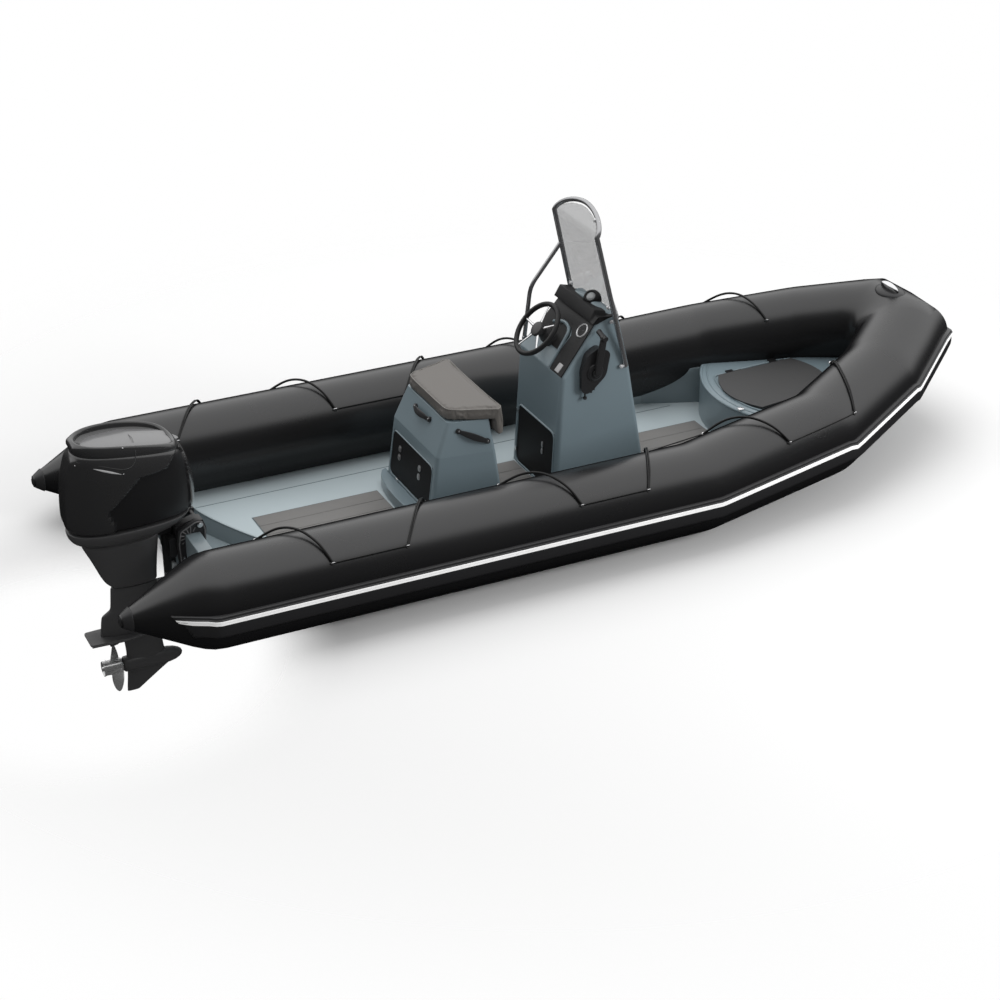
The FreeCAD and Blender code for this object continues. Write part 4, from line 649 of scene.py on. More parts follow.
shoulder_rings, rail_points = [], []
for k in range(49):
    y = WELL_HALF * (k / 24 - 1) * 0.999
    deck_cut = WELL_CENTRE + math.sqrt(WELL_RADIUS ** 2 - y ** 2) + 0.006
    edge = min(well_edge(y), deck_cut - 0.010)
    rail_points.append(afloat(edge + 0.001, y, DECK_HEIGHT - 0.003))
    shoulder_rings.append([afloat(x, y, DECK_HEIGHT + z) for x, z in (
        (edge, -0.004), (edge + 0.004, 0.0008), (deck_cut, 0.0008), (deck_cut, -WALL_DROP),
        (edge - WALL_SLOPE, -WALL_DROP))])
shoulder = piece("well_shoulder", lofted(shoulder_rings), deck_gelcoat, sharp=50)
shoulder.data.materials.append(well_gelcoat)
for face in shoulder.data.polygons:
    face.material_index = int(face.normal.z < 0.9)
lips = bmesh.new()
cord_mesh(lips, rail_points, 0.004)
piece("well_lip", lips, deck_gelcoat)

# ---- deck pads --------------------------------------------------------------------------------
# Warm grey non-slip sheet in long planks, glued down between the waterways and round the feet
# of the seat and the console.

PLANK_EDGES = (-0.240, -0.120, 0.0, 0.120, 0.240)
PAD_SPANS = ((1.14, 1.945), (2.532, 2.877), (3.542, 4.188))
PLANK_GAP = 0.0016
PAD_TOP = DECK_HEIGHT + 0.0045
deck_pad = finish("deck_pad", (0.150, 0.147, 0.143), 0.72, depth=0.8, patch=6.0)
planks = bmesh.new()
for aft, fore in PAD_SPANS:
    for low, high in zip(PLANK_EDGES, PLANK_EDGES[1:]):
        slab(planks, (aft, low + PLANK_GAP, DECK_HEIGHT - 0.002),
             (fore, high - PLANK_GAP, PAD_TOP))
rounded(planks, planks.edges[:], 0.001, segments=2)
piece("deck_planks", planks, deck_pad, instead_of=("deck_pads",))
edging = bmesh.new()
PAD_EDGING = (DECK_HEIGHT - 0.002, DECK_HEIGHT + 0.002)
for aft, fore in PAD_SPANS:
    side_strips(edging, (aft - 0.005, fore), (PAD_HALF, PAD_HALF + 0.005), PAD_EDGING)
slab(edging, (1.135, -PAD_HALF, PAD_EDGING[0]), (1.14, PAD_HALF, PAD_EDGING[1]))
outwards(edging)
piece("pad_edging", edging, seam_grey)

# ---- console ----------------------------------------------------------------------------------
# A one-piece glass fibre pedestal with generous corners, bolted to the deck. Its aft face has an
# opening into a dry locker, with a moulded bead round it.

CONSOLE_LEVELS = [              # height, aft station, fore station, half width
    (-0.200, 2.889, 3.530, 0.293), (0.575, 2.930, 3.392, 0.287),
    (0.861, 3.179, 3.341, 0.239), (0.895, 3.192, 3.335, 0.236)]
CONSOLE_CORNER = 0.030
SHELL_WALL = 0.010
CONSOLE_DOOR = (-0.242, 0.232, -0.185, 0.190)      # starboard, port, low and high edge
DOOR_CORNER = 0.045
DOOR_GAP = 0.005
BEAD_GROW = 0.007


def aft_station(levels, height):
    """Station of a raked aft face at a height, between its first two levels."""
    low, high = levels[0], levels[1]
    return low[1] + (height - low[0]) / (high[0] - low[0]) * (high[1] - low[1])


def corner_edges(bm, upright=0.6):
    """Edges of a loft that run up its corners."""
    return [e for e in bm.edges if len(e.link_faces) == 2
            and abs((e.verts[1].co - e.verts[0].co).normalized().z) > upright
            and e.calc_face_angle(0.0) > 0.6]


def open_door(bm, door):
    """Cut the opening for a door in the raked aft face of a shell."""
    starboard, port, low, high = (edge + grow for edge, grow in
                                  zip(door, (-DOOR_GAP, DOOR_GAP, -DOOR_GAP, DOOR_GAP)))
    for place, way in (((0, starboard, 0), (0, 1, 0)), ((0, port, 0), (0, 1, 0)),
                       ((0, 0, low), (0, 0, 1)), ((0, 0, high), (0, 0, 1))):
        faces = [f for f in bm.faces if f.normal.x < -0.9]
        around = {e for f in faces for e in f.edges} | {v for f in faces for v in f.verts}
        bmesh.ops.bisect_plane(bm, geom=faces + list(around), plane_co=afloat(*place), plane_no=way)
    inside = [f for f in bm.faces if f.normal.x < -0.9
              and starboard < f.calc_center_median().y < port
              and afloat(0, 0, low).z < f.calc_center_median().z < afloat(0, 0, high).z]
    bmesh.ops.delete(bm, geom=inside, context="FACES")


def shell(name, bm, door, stands_for):
    """Open a moulding underneath and at its door, and lay a wall on inwards."""
    foot_faces = [f for f in bm.faces if f.normal.z < -0.9]
    bmesh.ops.delete(bm, geom=foot_faces, context="FACES")
    open_door(bm, door)
    made = piece(name, bm, console_gelcoat, instead_of=(stands_for,), sharp=50)
    skin = made.modifiers.new("wall", "SOLIDIFY")
    skin.thickness = SHELL_WALL
    skin.offset = -1.0
    even_shading(made)


def oval(centre, across, upward, wide, tall, sides):
    """A ring of places round a centre."""
    return [centre + across * (wide * math.cos(a)) + upward * (tall * math.sin(a))
            for a in angles(sides)]


def bar_mesh(bm, points, radius, bend=0.0, sides=14, closed=False):
    """A round bar along straight runs with a short bend at each corner."""
    spots = []
    count = len(points)
    for index, point in enumerate(points):
        if not closed and index in (0, count - 1) or bend == 0.0:
            spots.append(Vector(point))
            continue
        corner = Vector(point)
        before, after = Vector(points[index - 1]), Vector(points[(index + 1) % count])
        start = corner + (before - corner).normalized() * bend
        end = corner + (after - corner).normalized() * bend
        for share in (0.0, 0.12, 0.3, 0.5, 0.7, 0.88, 1.0):
            spots.append(start.lerp(corner, share).lerp(corner.lerp(end, share), share))
    total = len(spots)
    ring, first, last_up = None, None, None
    for index, spot in enumerate(spots):
        ahead = spots[(index + 1) % total] if closed or index < total - 1 else spot
        behind = spots[index - 1] if closed or index > 0 else spot
        onward = (ahead - behind).normalized()
        if last_up is None:
            last_up = Vector((0, 0, 1)) if abs(onward.z) < 0.8 else Vector((0, 1, 0))
        across = onward.cross(last_up).normalized()
        last_up = across.cross(onward).normalized()
        places = oval(spot, across, last_up, radius, radius, sides)
        if ring is None:
            ring = first = [bm.verts.new(p) for p in places]
        else:
            ring = extruded_to(bm, ring, places)
    if closed:
        bmesh.ops.bridge_loops(bm, edges=[bm.edges.get(p) for r in (ring, first)
                                          for p in zip(r, r[1:] + r[:1])])
    else:
        bmesh.ops.contextual_create(bm, geom=first)
        bmesh.ops.contextual_create(bm, geom=ring)
    return bm


def door_face(levels, y, z, out):
    """Place on a raked aft face, out from its surface."""
    rake = (levels[1][1] - levels[0][1]) / (levels[1][0] - levels[0][0])
    normal = Vector((-1.0, 0.0, rake)).normalized()
    return afloat(aft_station(levels, z), y, z) + normal * out


def panel(corners, depth, corner, edge, bm=None):
    """A flat panel with rounded corners and softened edges; depth is a vector through it."""
    bm = bm or bmesh.new()
    made = [bm.verts.new(c) for c in corners]
    face = bm.faces.new(made)
    if corner:
        cut = bmesh.ops.bevel(bm, geom=made, offset=corner, offset_type="OFFSET", segments=8,
                              profile=0.5, affect="VERTICES", material=-1)
        face = max((f for v in cut["verts"] for f in v.link_faces), key=lambda f: f.calc_area())
    grown = bmesh.ops.extrude_face_region(bm, geom=[face])["geom"]
    moved = [v for v in grown if isinstance(v, bmesh.types.BMVert)]
    bmesh.ops.translate(bm, verts=moved, vec=depth)
    around = {f for v in moved for f in v.link_faces}
    bmesh.ops.recalc_face_normals(bm, faces=list(around))
    if edge:
        rim = list({e for f in around for e in f.edges if e.calc_face_angle(0.0) > 1.0})
        rounded(bm, rim, edge, segments=3)
    return bm


def door_corners(levels, door, grow=0.0, out=0.0):
    starboard, port, low, high = door
    return [door_face(levels, y, z, out) for y, z in
            ((starboard - grow, low - grow), (port + grow, low - grow),
             (port + grow, high + grow), (starboard - grow, high + grow))]


def rectangle_rings(levels):
    """Rings of a box from its levels; the last half width is that of its fore side."""
    return [[afloat(aft, -halves[0], z), afloat(fore, -halves[-1], z), afloat(fore, halves[-1], z),
             afloat(aft, halves[0], z)] for z, aft, fore, *halves in levels]


def hang_door(name, levels, door, bead_out, bead_radius):
    """The bead round an opening, and the door that closes it."""
    bead = bmesh.new()
    bar_mesh(bead, door_corners(levels, door, grow=BEAD_GROW, out=bead_out), bead_radius,
             bend=DOOR_CORNER + BEAD_GROW, closed=True)
    outwards(bead)
    piece(name + "_door_bead", bead, console_gelcoat)
    leaf = panel(door_corners(levels, door), Vector((0.012, 0, 0)), DOOR_CORNER, 0.002)
    piece(name + "_door_panel", leaf, hatch_black, body=name + "_hatch",
          instead_of=(name + "_door",))
    dress(name + "_hinges", plated)


console = lofted(rectangle_rings(CONSOLE_LEVELS))
rounded(console, corner_edges(console, 0.3), CONSOLE_CORNER, segments=7)
ridge_edges = [e for e in console.edges if len(e.link_faces) == 2 and 0.3 < e.calc_face_angle(0.0)
               and min(v.co.z for v in e.verts) > afloat(0, 0, 0.5).z]
rounded(console, ridge_edges, 0.010, segments=3)
shell("console_shell", console, CONSOLE_DOOR, "console")
hatch_black = finish("hatch_black", (0.007, 0.007, 0.0075), 0.55, depth=0.3, size=700.0, mottle=0.04,
                     Specular_IOR_Level=0.2)
hang_door("console", CONSOLE_LEVELS, CONSOLE_DOOR, 0.001, 0.0065)

# Pull latches: a plated oval cup with a folding ring, screwed through each door.


def latch(bm, levels, y, z, wide, tall):
    for lift, share in ((0.003, 1.0), (0.006, 0.62)):
        corners = [door_face(levels, y + a * wide * share, z + b * tall * share, 0.0)
                   for a, b in ((-1, -1), (1, -1), (1, 1), (-1, 1))]
        panel(corners, door_face(levels, y, z, lift) - door_face(levels, y, z, 0.0),
              wide * share * 0.95, 0.0, bm=bm)


latches = bmesh.new()
for z in (0.062, 0.018):
    latch(latches, CONSOLE_LEVELS, -0.100, z, wide=0.010, tall=0.020)
outwards(latches)
latch_steel = finish("latch_steel", (0.34, 0.34, 0.345), 0.3, depth=0.1, Metallic=0.7)
piece("console_latch", latches, latch_steel, body="console_hatch")

# ---- dash -------------------------------------------------------------------------------------
# A matt black instrument panel let into the raked face, with a rounded gelcoat bead round the
# recess for the helm, a cross hood over its head and a hump behind for the compass.

DASH_FOOT = Vector((2.930, 0.0, 0.575))
DASH_HEAD = Vector((3.179, 0.0, 0.861))
DASH_UP = (DASH_HEAD - DASH_FOOT).normalized()
DASH_OUT = Vector((-DASH_UP.z, 0.0, DASH_UP.x))
DASH_LENGTH = (DASH_HEAD - DASH_FOOT).length
GAUGE_PLACE = (0.300, -0.178)
GAUGE_RADIUS = 0.046


def dash(up, port, out=0.0):
    """Place up the dash slope, to port and out of its face."""
    return afloat(*(DASH_FOOT + DASH_UP * up + Vector((0, port, 0)) + DASH_OUT * out))


def on_dash(*spots):
    return [dash(*spot) for spot in spots]


dash_black = finish("dash_black", (0.014, 0.014, 0.0145), 0.5, depth=0.35, size=800.0,
                    Specular_IOR_Level=0.3)
outline = on_dash((0.004, -0.279), (0.004, -0.135), (0.150, -0.112), (0.235, -0.112), (0.292, -0.060),
                  (0.292, 0.231), (DASH_LENGTH - 0.006, 0.231), (DASH_LENGTH - 0.006, -0.231))
plate = panel(outline, DASH_OUT * 0.006, 0.0, 0.0018)
piece("dash_plate", plate, dash_black, instead_of=("dash_panel",))
recess = panel(on_dash((0.120, -0.098), (0.225, -0.098), (0.292, -0.062), (0.292, 0.236), (0.120, 0.236)),
               DASH_OUT * 0.003, 0.0, 0.0)
piece("helm_recess_plate", recess, dash_black)
rim = bmesh.new()
bar_mesh(rim, on_dash((0.010, -0.118, 0.002), (0.150, -0.096, 0.006), (0.262, -0.070, 0.006),
                      (0.282, 0.030, 0.006), (0.240, 0.120, 0.004)), 0.011, bend=0.045)
outwards(rim)
piece("helm_recess_bead", rim, console_gelcoat)
switch_grey = finish("switch_grey", (0.36, 0.36, 0.365), 0.4, depth=0.1)
switch = panel(on_dash((0.014, -0.232, 0.006), (0.014, -0.186, 0.006), (0.068, -0.186, 0.006),
                       (0.068, -0.232, 0.006)), DASH_OUT * 0.003, 0.004, 0.001)
piece("switch_plate", switch, switch_grey)


def facing(place, out):
    """Matrix at a place whose Z axis points out."""
    turn = out.to_track_quat("Z", "X").to_matrix().to_4x4()
    turn.translation = place
    return turn


def turned(bm, profile, place, out, steps=40):
    """A turned solid: (radius, height) profile spun about the axis out through place."""
    made = [bm.verts.new((r, 0, h)) for r, h in profile]
    edges = [bm.edges.new(pair) for pair in zip(made, made[1:])]
    bmesh.ops.spin(bm, geom=made + edges, cent=(0, 0, 0), axis=(0, 0, 1), angle=2 * math.pi,
                   steps=steps, use_merge=True)
    linked = set(made)
    waiting = list(made)
    while waiting:
        vertex = waiting.pop()
        for other in [e.other_vert(vertex) for e in vertex.link_edges]:
            if other not in linked:
                linked.add(other)
                waiting.append(other)
    linked = list(linked)
    bmesh.ops.transform(bm, matrix=facing(place, out), verts=linked)
    bmesh.ops.remove_doubles(bm, verts=linked, dist=0.00005)


needle_grey = finish("needle_grey", (0.10, 0.10, 0.10), 0.5)
gauge_ring, gauge_face, gauge_marks = bmesh.new(), bmesh.new(), bmesh.new()
gauge_at = dash(*GAUGE_PLACE, 0.006)
turned(gauge_ring, [(GAUGE_RADIUS - 0.010, 0.000), (GAUGE_RADIUS - 0.008, 0.006),
                    (GAUGE_RADIUS - 0.004, 0.009), (GAUGE_RADIUS, 0.006), (GAUGE_RADIUS, 0.0)],
       gauge_at, DASH_OUT)
turned(gauge_face, [(0.0, 0.003), (GAUGE_RADIUS - 0.009, 0.003), (GAUGE_RADIUS - 0.009, 0.0)],
       gauge_at, DASH_OUT)
for tick in range(11):
    angle = math.radians(-130 + 26 * tick)
    arm = DASH_UP * math.cos(angle) + Vector((0, -1, 0)) * math.sin(angle)
    side = DASH_OUT.cross(arm) * 0.0008
    near, far = (gauge_at + DASH_OUT * 0.0032 + arm * reach for reach in (0.023, 0.028))
    panel([near - side, near + side, far + side, far - side], DASH_OUT * 0.0004, 0.0, 0.0,
          bm=gauge_marks)
pointer = (DASH_UP * 0.4 - Vector((0, 1, 0)) * 0.9).normalized()
side = DASH_OUT.cross(pointer) * 0.0014
hub = gauge_at + DASH_OUT * 0.0034
tip = hub + pointer * 0.022
panel([hub - side, hub + side, tip + side * 0.2, tip - side * 0.2], DASH_OUT * 0.0006, 0.0, 0.0,
      bm=gauge_marks)
outwards(gauge_ring, gauge_face, gauge_marks)
bezel_silver = finish("bezel_silver", (0.62, 0.62, 0.63), 0.25, depth=0.02, Metallic=0.4)
piece("gauge_bezel", gauge_ring, bezel_silver, instead_of=("gauge",))
piece("gauge_face", gauge_face, dash_black)
piece("gauge_marks", gauge_marks, needle_grey)

hood_black = finish("hood_black", (0.008, 0.008, 0.0085), 0.5, depth=0.3, size=800.0,
                    Specular_IOR_Level=0.3)
hood_rings = []
for y in (0.249, -0.200, -0.216, -0.249):
    drop = 0.0 if y > -0.21 else 0.030
    hood_rings.append([afloat(x, y, z) for x, z in
                       ((3.150, 0.868), (3.190, 0.935 - drop), (3.262, 0.918 - drop),
                        (3.300 if drop else 3.266, 0.897), (3.192, 0.895), (3.179, 0.861))])
hood = lofted(hood_rings)
rounded(hood, [e for e in hood.edges if e.calc_face_angle(0.0) > 0.4], 0.004, segments=3)
piece("dash_hood_cover", hood, hood_black, instead_of=("dash_hood",))
hump_rings = []
for y, rise in ((0.215, 0.0), (0.150, 0.022), (0.070, 0.044), (-0.060, 0.044), (-0.140, 0.020),
                (-0.205, 0.0)):
    hump_rings.append([afloat(x, y, z) for x, z in
                       ((3.215, 0.880), (3.225, 0.902 + rise), (3.262, 0.905 + rise),
                        (3.318, 0.893 + rise * 0.5), (3.325, 0.880))])
hump = lofted(hump_rings)


def softened(made, levels):
    """A subdivision surface over an object."""
    soft = made.modifiers.new("soft", "SUBSURF")
    soft.levels = soft.render_levels = levels
    return soft


softened(piece("compass_hump", hump, console_gelcoat, sharp=60), 2)

compass_base, compass_lens = bmesh.new(), bmesh.new()
compass_at = afloat(3.262, -0.035, 0.932)
lean = Vector((-0.55, -0.35, 0.75)).normalized()
turned(compass_base, [(0.0, -0.03), (0.050, -0.03), (0.055, 0.0), (0.053, 0.016), (0.046, 0.030),
                      (0.036, 0.037), (0.031, 0.036), (0.029, 0.030), (0.0, 0.030)], compass_at, lean)
turned(compass_lens, [(0.0, 0.037), (0.012, 0.0365), (0.024, 0.034), (0.0300, 0.029), (0.0, 0.026)],
       compass_at, lean)
outwards(compass_base, compass_lens)
piece("compass_body", compass_base, hood_black, instead_of=("compass",))
compass_glass = finish("compass_glass", (0.20, 0.21, 0.215), 0.08, depth=0.0, Coat_Weight=1.0)
piece("compass_lens", compass_lens, compass_glass)

# ---- steering wheel -----------------------------------------------------------------------------
# A padded black rim on five polished spokes, with a domed boss. It turns on the hub of the helm
# pump, which stays with the boat.

WHEEL_CENTRE = Vector((2.935, 0.050, 0.765))
WHEEL_RADIUS = 0.168
RIM_RADIUS = 0.0160
SPOKE_TURN = 0.25               # of the first spoke, from straight up the slope


def wheel(arm, out=0.0):
    return afloat(*(WHEEL_CENTRE + DASH_OUT * out)) + arm


hub_black = finish("hub_black", (0.03, 0.03, 0.031), 0.4, depth=0.2, size=600.0)
helm = bmesh.new()
turned(helm, [(0.0, -0.148), (0.056, -0.148), (0.056, -0.120), (0.048, -0.105), (0.044, -0.075),
              (0.036, -0.062), (0.033, -0.046), (0.0, -0.046)], wheel(Vector()), DASH_OUT)
outwards(helm)
piece("helm_pump", helm, hub_black, instead_of=("helm_hub",))
wheel_rim, wheel_arms, wheel_boss = bmesh.new(), bmesh.new(), bmesh.new()
turned(wheel_rim, [(WHEEL_RADIUS + RIM_RADIUS * math.cos(a), RIM_RADIUS * math.sin(a))
                   for a in (2 * math.pi * k / 16 for k in range(17))],
       wheel(Vector()), DASH_OUT, steps=72)
turned(wheel_boss, [(0.0, -0.043), (0.034, -0.043), (0.042, -0.022), (0.047, -0.012),
                    (0.048, 0.000), (0.043, 0.009), (0.026, 0.014), (0.0, 0.016)],
       wheel(Vector()), DASH_OUT)
for turn in angles(5):
    angle = turn + SPOKE_TURN
    arm = DASH_UP * math.cos(angle) + Vector((0, 1, 0)) * math.sin(angle)
    across = DASH_OUT.cross(arm)
    rings = []
    for reach, half, thick, out in ((0.030, 0.011, 0.004, -0.006), (0.080, 0.0085, 0.0038, -0.004),
                                    (0.130, 0.0065, 0.0035, 0.0), (0.162, 0.0075, 0.004, 0.0)):
        rings.append(oval(wheel(arm * reach, out), across, DASH_OUT, half, thick, 10))
    lofted(rings, bm=wheel_arms)
outwards(wheel_rim, wheel_boss)
wheel_pad = finish("wheel_pad", (0.012, 0.012, 0.0125), 0.45, depth=0.5, size=500.0,
                   Specular_IOR_Level=0.35)
piece("wheel_rim", wheel_rim, wheel_pad, body="helm",
      instead_of=("steering_wheel",), sharp=60)
piece("wheel_spokes", wheel_arms, plated, body="helm", sharp=60)
piece("wheel_boss", wheel_boss, hub_black, body="helm")

# ---- throttle -----------------------------------------------------------------------------------
# A side-mount control: black housing with a turned boss, its lever swept up to a cross grip, and
# two cable tails with a lanyard switch below.

CONSOLE_SIDE = 0.287
throttle_black = finish("throttle_black", (0.018, 0.018, 0.019), 0.36, depth=0.25, size=600.0)


def beside_console(x, out, z):
    return afloat(x, -CONSOLE_SIDE - out, z)


def beside_all(*spots):
    return [beside_console(*spot) for spot in spots]


box_outline = [(3.052, 0.475), (3.098, 0.462), (3.205, 0.560), (3.232, 0.700), (3.165, 0.742),
               (3.088, 0.702), (3.050, 0.600)]
housing = panel([beside_console(x, 0.038, z) for x, z in box_outline], Vector((0, 0.078, 0)),
                0.022, 0.006)
turned(housing, [(0.0, 0.012), (0.040, 0.012), (0.044, 0.008), (0.052, 0.006), (0.056, 0.0),
                 (0.056, -0.02), (0.0, -0.02)], beside_console(3.135, 0.038, 0.590), Vector((0, -1, 0)))
turned(housing, [(0.0, 0.020), (0.020, 0.020), (0.024, 0.016), (0.024, 0.0), (0.0, 0.0)],
       beside_console(3.135, 0.044, 0.590), Vector((0, -1, 0)))
outwards(housing)
piece("throttle_housing", housing, throttle_black, instead_of=("throttle_box",))
lever = panel([beside_console(x, 0.052, z) for x, z in
               ((3.118, 0.585), (3.158, 0.575), (3.178, 0.700), (3.196, 0.812), (3.158, 0.822),
                (3.132, 0.700))], Vector((0, -0.018, 0)), 0.016, 0.004)
bar_mesh(lever, beside_all((3.178, 0.082, 0.812), (3.178, 0.030, 0.818), (3.180, -0.012, 0.828)),
         0.017, bend=0.02)
bar_mesh(lever, beside_all((3.176, 0.066, 0.812), (3.176, 0.044, 0.814)), 0.0185)
outwards(lever)
piece("throttle_handle", lever, throttle_black, instead_of=("throttle_lever",))
tails = bmesh.new()
for x, low in ((3.078, 0.435), (3.120, 0.455), (3.138, 0.470)):
    bar_mesh(tails, beside_all((x, 0.020, low + 0.060), (x, 0.022, low)), 0.0055)
turned(tails, [(0.0, 0.010), (0.010, 0.008), (0.014, 0.0), (0.010, -0.008), (0.0, -0.010)],
       beside_console(3.078, 0.022, 0.428), Vector((0, 0, -1)))
outwards(tails)
piece("throttle_tails", tails, throttle_black)

# ---- windscreen and its hoop ------------------------------------------------------------------
# A polished stainless hoop clamped to the console's sides carries a bent tinted pane on ball
# clamps; a grab rail runs from its port leg down to the console.

HOOP_TUBE = 0.0145
RAIL_TUBE = 0.0130
LEG_FOOT = Vector((3.356, 0.298, 0.585))
LEG_TOP = Vector((3.156, 0.272, 1.416))
CROWN_RISE = 0.118
CROWN_LEAN = 0.60               # the crown is bent forward from the legs
CROWN_SQUARE = 1.8              # 2 would be an ellipse


def leg(height):
    """Place on the port leg's line at a height."""
    return LEG_FOOT + (LEG_TOP - LEG_FOOT) * ((height - LEG_FOOT.z) / (LEG_TOP.z - LEG_FOOT.z))


def arch_place(turn):
    """Place round the hoop's crown, from the port shoulder over to starboard."""
    lift = CROWN_RISE * abs(math.sin(turn)) ** (2 / CROWN_SQUARE)
    breadth = LEG_TOP.y * math.copysign(abs(math.cos(turn)) ** (2 / CROWN_SQUARE), math.cos(turn))
    return afloat(LEG_TOP.x + CROWN_LEAN * lift, breadth, LEG_TOP.z + lift)


hoop = bmesh.new()
crown = [arch_place(math.pi * k / 32) for k in range(33)]
legs = [afloat(*leg(z)) for z in (0.585, 0.9, 1.2, 1.37)]
other = [Vector((p.x, -p.y, p.z)) for p in reversed(legs)]
bar_mesh(hoop, legs + crown + other, HOOP_TUBE, sides=20)
rail = [afloat(*leg(1.195)), afloat(2.996, 0.264, 0.948), afloat(2.976, 0.303, 0.600)]
bar_mesh(hoop, rail, RAIL_TUBE, bend=0.055, sides=18)
for foot in (legs[0], other[-1], rail[-1]):
    side = math.copysign(1.0, foot.y)
    turned(hoop, [(0.0, 0.012), (0.013, 0.009), (0.0175, 0.0), (0.019, -0.010), (0.020, -0.016),
                  (0.0, -0.016)], foot - Vector((0, side * 0.002, 0)), Vector((0, side, 0)), steps=24)
outwards(hoop)
tube_steel = finish("tube_steel", (0.40, 0.40, 0.41), 0.2, depth=0.02, mottle=0.02, Metallic=0.85)
piece("screen_frame", hoop, tube_steel, instead_of=("screen_hoop",), sharp=50)

PANE_FOOT = 0.862
PANE_GAP = 0.021
PANE_FORWARD = 0.070            # how far its middle stands ahead of the legs at its foot
PANE_WIDE = (0.0, 0.25, 0.5, 0.68, 0.80, 0.89, 0.955, 1.0)
PANE_TOP = LEG_TOP.z + CROWN_RISE - PANE_GAP
pane_rings = []
for row in range(21):
    height = PANE_FOOT + (PANE_TOP - PANE_FOOT) * math.sin(math.pi / 40 * row)
    lift = max(0.0, height - LEG_TOP.z)
    line = leg(height - lift)
    share = min(1.0, lift / (CROWN_RISE - PANE_GAP))
    half = max(0.03, (line.y - PANE_GAP) * (1 - share ** CROWN_SQUARE) ** (1 / CROWN_SQUARE))
    forward = PANE_FORWARD * max(0.0, LEG_TOP.z - height) / (LEG_TOP.z - PANE_FOOT)
    places = []
    for wide in [-w for w in reversed(PANE_WIDE[1:])] + list(PANE_WIDE):
        bend = (max(0.0, abs(wide) - 0.68) / 0.32) ** 2
        places.append(afloat(line.x + CROWN_LEAN * lift + forward * (1 - bend), half * wide, height))
    pane_rings.append(places)
pane = lofted(pane_rings, ends=False, closed=False)
tint = finish("screen_tint", (0.15, 0.155, 0.158), 0.06, depth=0.0, mottle=0.01, Alpha=0.40,
              Coat_Weight=0.5)
pane_made = piece("screen_pane", pane, tint, instead_of=("windscreen",), sharp=60)
glass = pane_made.modifiers.new("sheet", "SOLIDIFY")
glass.thickness = 0.004
glass.offset = 0.0
clamps = bmesh.new()


def ball_clamp(foot, ball, radius, arm):
    bmesh.ops.create_uvsphere(clamps, u_segments=18, v_segments=12, radius=radius,
                              matrix=Matrix.Translation(ball))
    bar_mesh(clamps, [foot, ball], arm)


for height, board in ((0.930, 1), (1.490, -1), (0.955, -1), (0.860, -1)):
    at = leg(height)
    if height > LEG_TOP.z:
        at = Vector((LEG_TOP.x + CROWN_LEAN * (height - LEG_TOP.z), 0.225, height))
    ball_clamp(afloat(at.x, board * (at.y - 0.004), at.z),
               afloat(at.x - 0.010, board * (at.y - 0.044), at.z), 0.0125, 0.0065)
for board in (-1, 1):
    breadth = board * LEG_FOOT.y
    ball_clamp(afloat(LEG_FOOT.x, breadth, LEG_FOOT.z),
               afloat(LEG_FOOT.x - 0.030, breadth, LEG_FOOT.z - 0.004), 0.013, 0.008)
outwards(clamps)
piece("screen_clamps", clamps, bezel_silver)

# ---- seat base --------------------------------------------------------------------------------
# A one-piece glass fibre box to sit or lean on while steering, open aft into a locker, with a low
# plinth behind it and flexible black handles screwed on.

SEAT_LEVELS = [                 # height, aft and fore station, half width aft and fore
    (-0.200, 2.040, 2.520, 0.330, 0.382), (0.245, 2.098, 2.458, 0.324, 0.375),
    (0.445, 2.182, 2.430, 0.295, 0.350)]
SEAT_DOOR = (-0.285, 0.285, -0.105, 0.165)
SEAT_CORNER = 0.024
SHELF_START, SHELF_SHORTER = 2.050, 0.42      # where the plinth's shelf is drawn in, and by how much

seat_shell = lofted(rectangle_rings(SEAT_LEVELS))
rounded(seat_shell, corner_edges(seat_shell), SEAT_CORNER, segments=6)
shoulder = [e for e in seat_shell.edges if len(e.link_faces) == 2 and 0.08 < e.calc_face_angle(0.0)
            and min(v.co.z for v in e.verts) > afloat(0, 0, 0.2).z]
rounded(seat_shell, shoulder, 0.007, segments=3)
shell("seat_shell", seat_shell, SEAT_DOOR, "seat_base")
hang_door("seat", SEAT_LEVELS, SEAT_DOOR, 0.0, 0.0045)
seat_latches = bmesh.new()
for y in (0.174, -0.114):
    for z in (0.088, 0.034):
        latch(seat_latches, SEAT_LEVELS, y, z, wide=0.019, tall=0.020)
outwards(seat_latches)
piece("seat_latches", seat_latches, latch_steel, body="seat_hatch")
plinth = eased("seat_plinth", "seat_step", 0.012, console_gelcoat, segments=4, angle=45)
for vertex in plinth.data.vertices:      # its shelf is drawn in close behind the door
    behind = afloat(SHELF_START, 0, 0).x - vertex.co.x
    vertex.co.x += SHELF_SHORTER * max(0.0, behind)


def strap(bm, start, end, off, half, rise):
    """A flexible handle: a flat strap bowed off a face, with a screwed boss at each end."""
    start, end = afloat(*start), afloat(*end)
    along = (end - start).normalized()
    across = off.cross(along).normalized()
    rings = []
    for k in range(17):
        share = k / 16
        lift = 0.007 + rise * math.sin(math.pi * share) ** 0.7
        centre = start.lerp(end, share) + off * lift
        wide = half * (0.62 + 0.55 * math.sin(math.pi * share))
        rings.append([centre + across * (wide * math.copysign(abs(math.cos(a)) ** 0.5, math.cos(a)))
                      + off * (0.0045 * math.copysign(abs(math.sin(a)) ** 0.5, math.sin(a)))
                      for a in (2 * math.pi * (n + 0.5) / 16 for n in range(16))])
    lofted(rings, bm=bm)
    for place in (start, end):
        turned(bm, [(0.0, 0.016), (0.008, 0.0155), (0.0155, 0.012), (0.0170, 0.004), (0.0170, 0.0),
                    (0.0, -0.001)], place, off, steps=24)


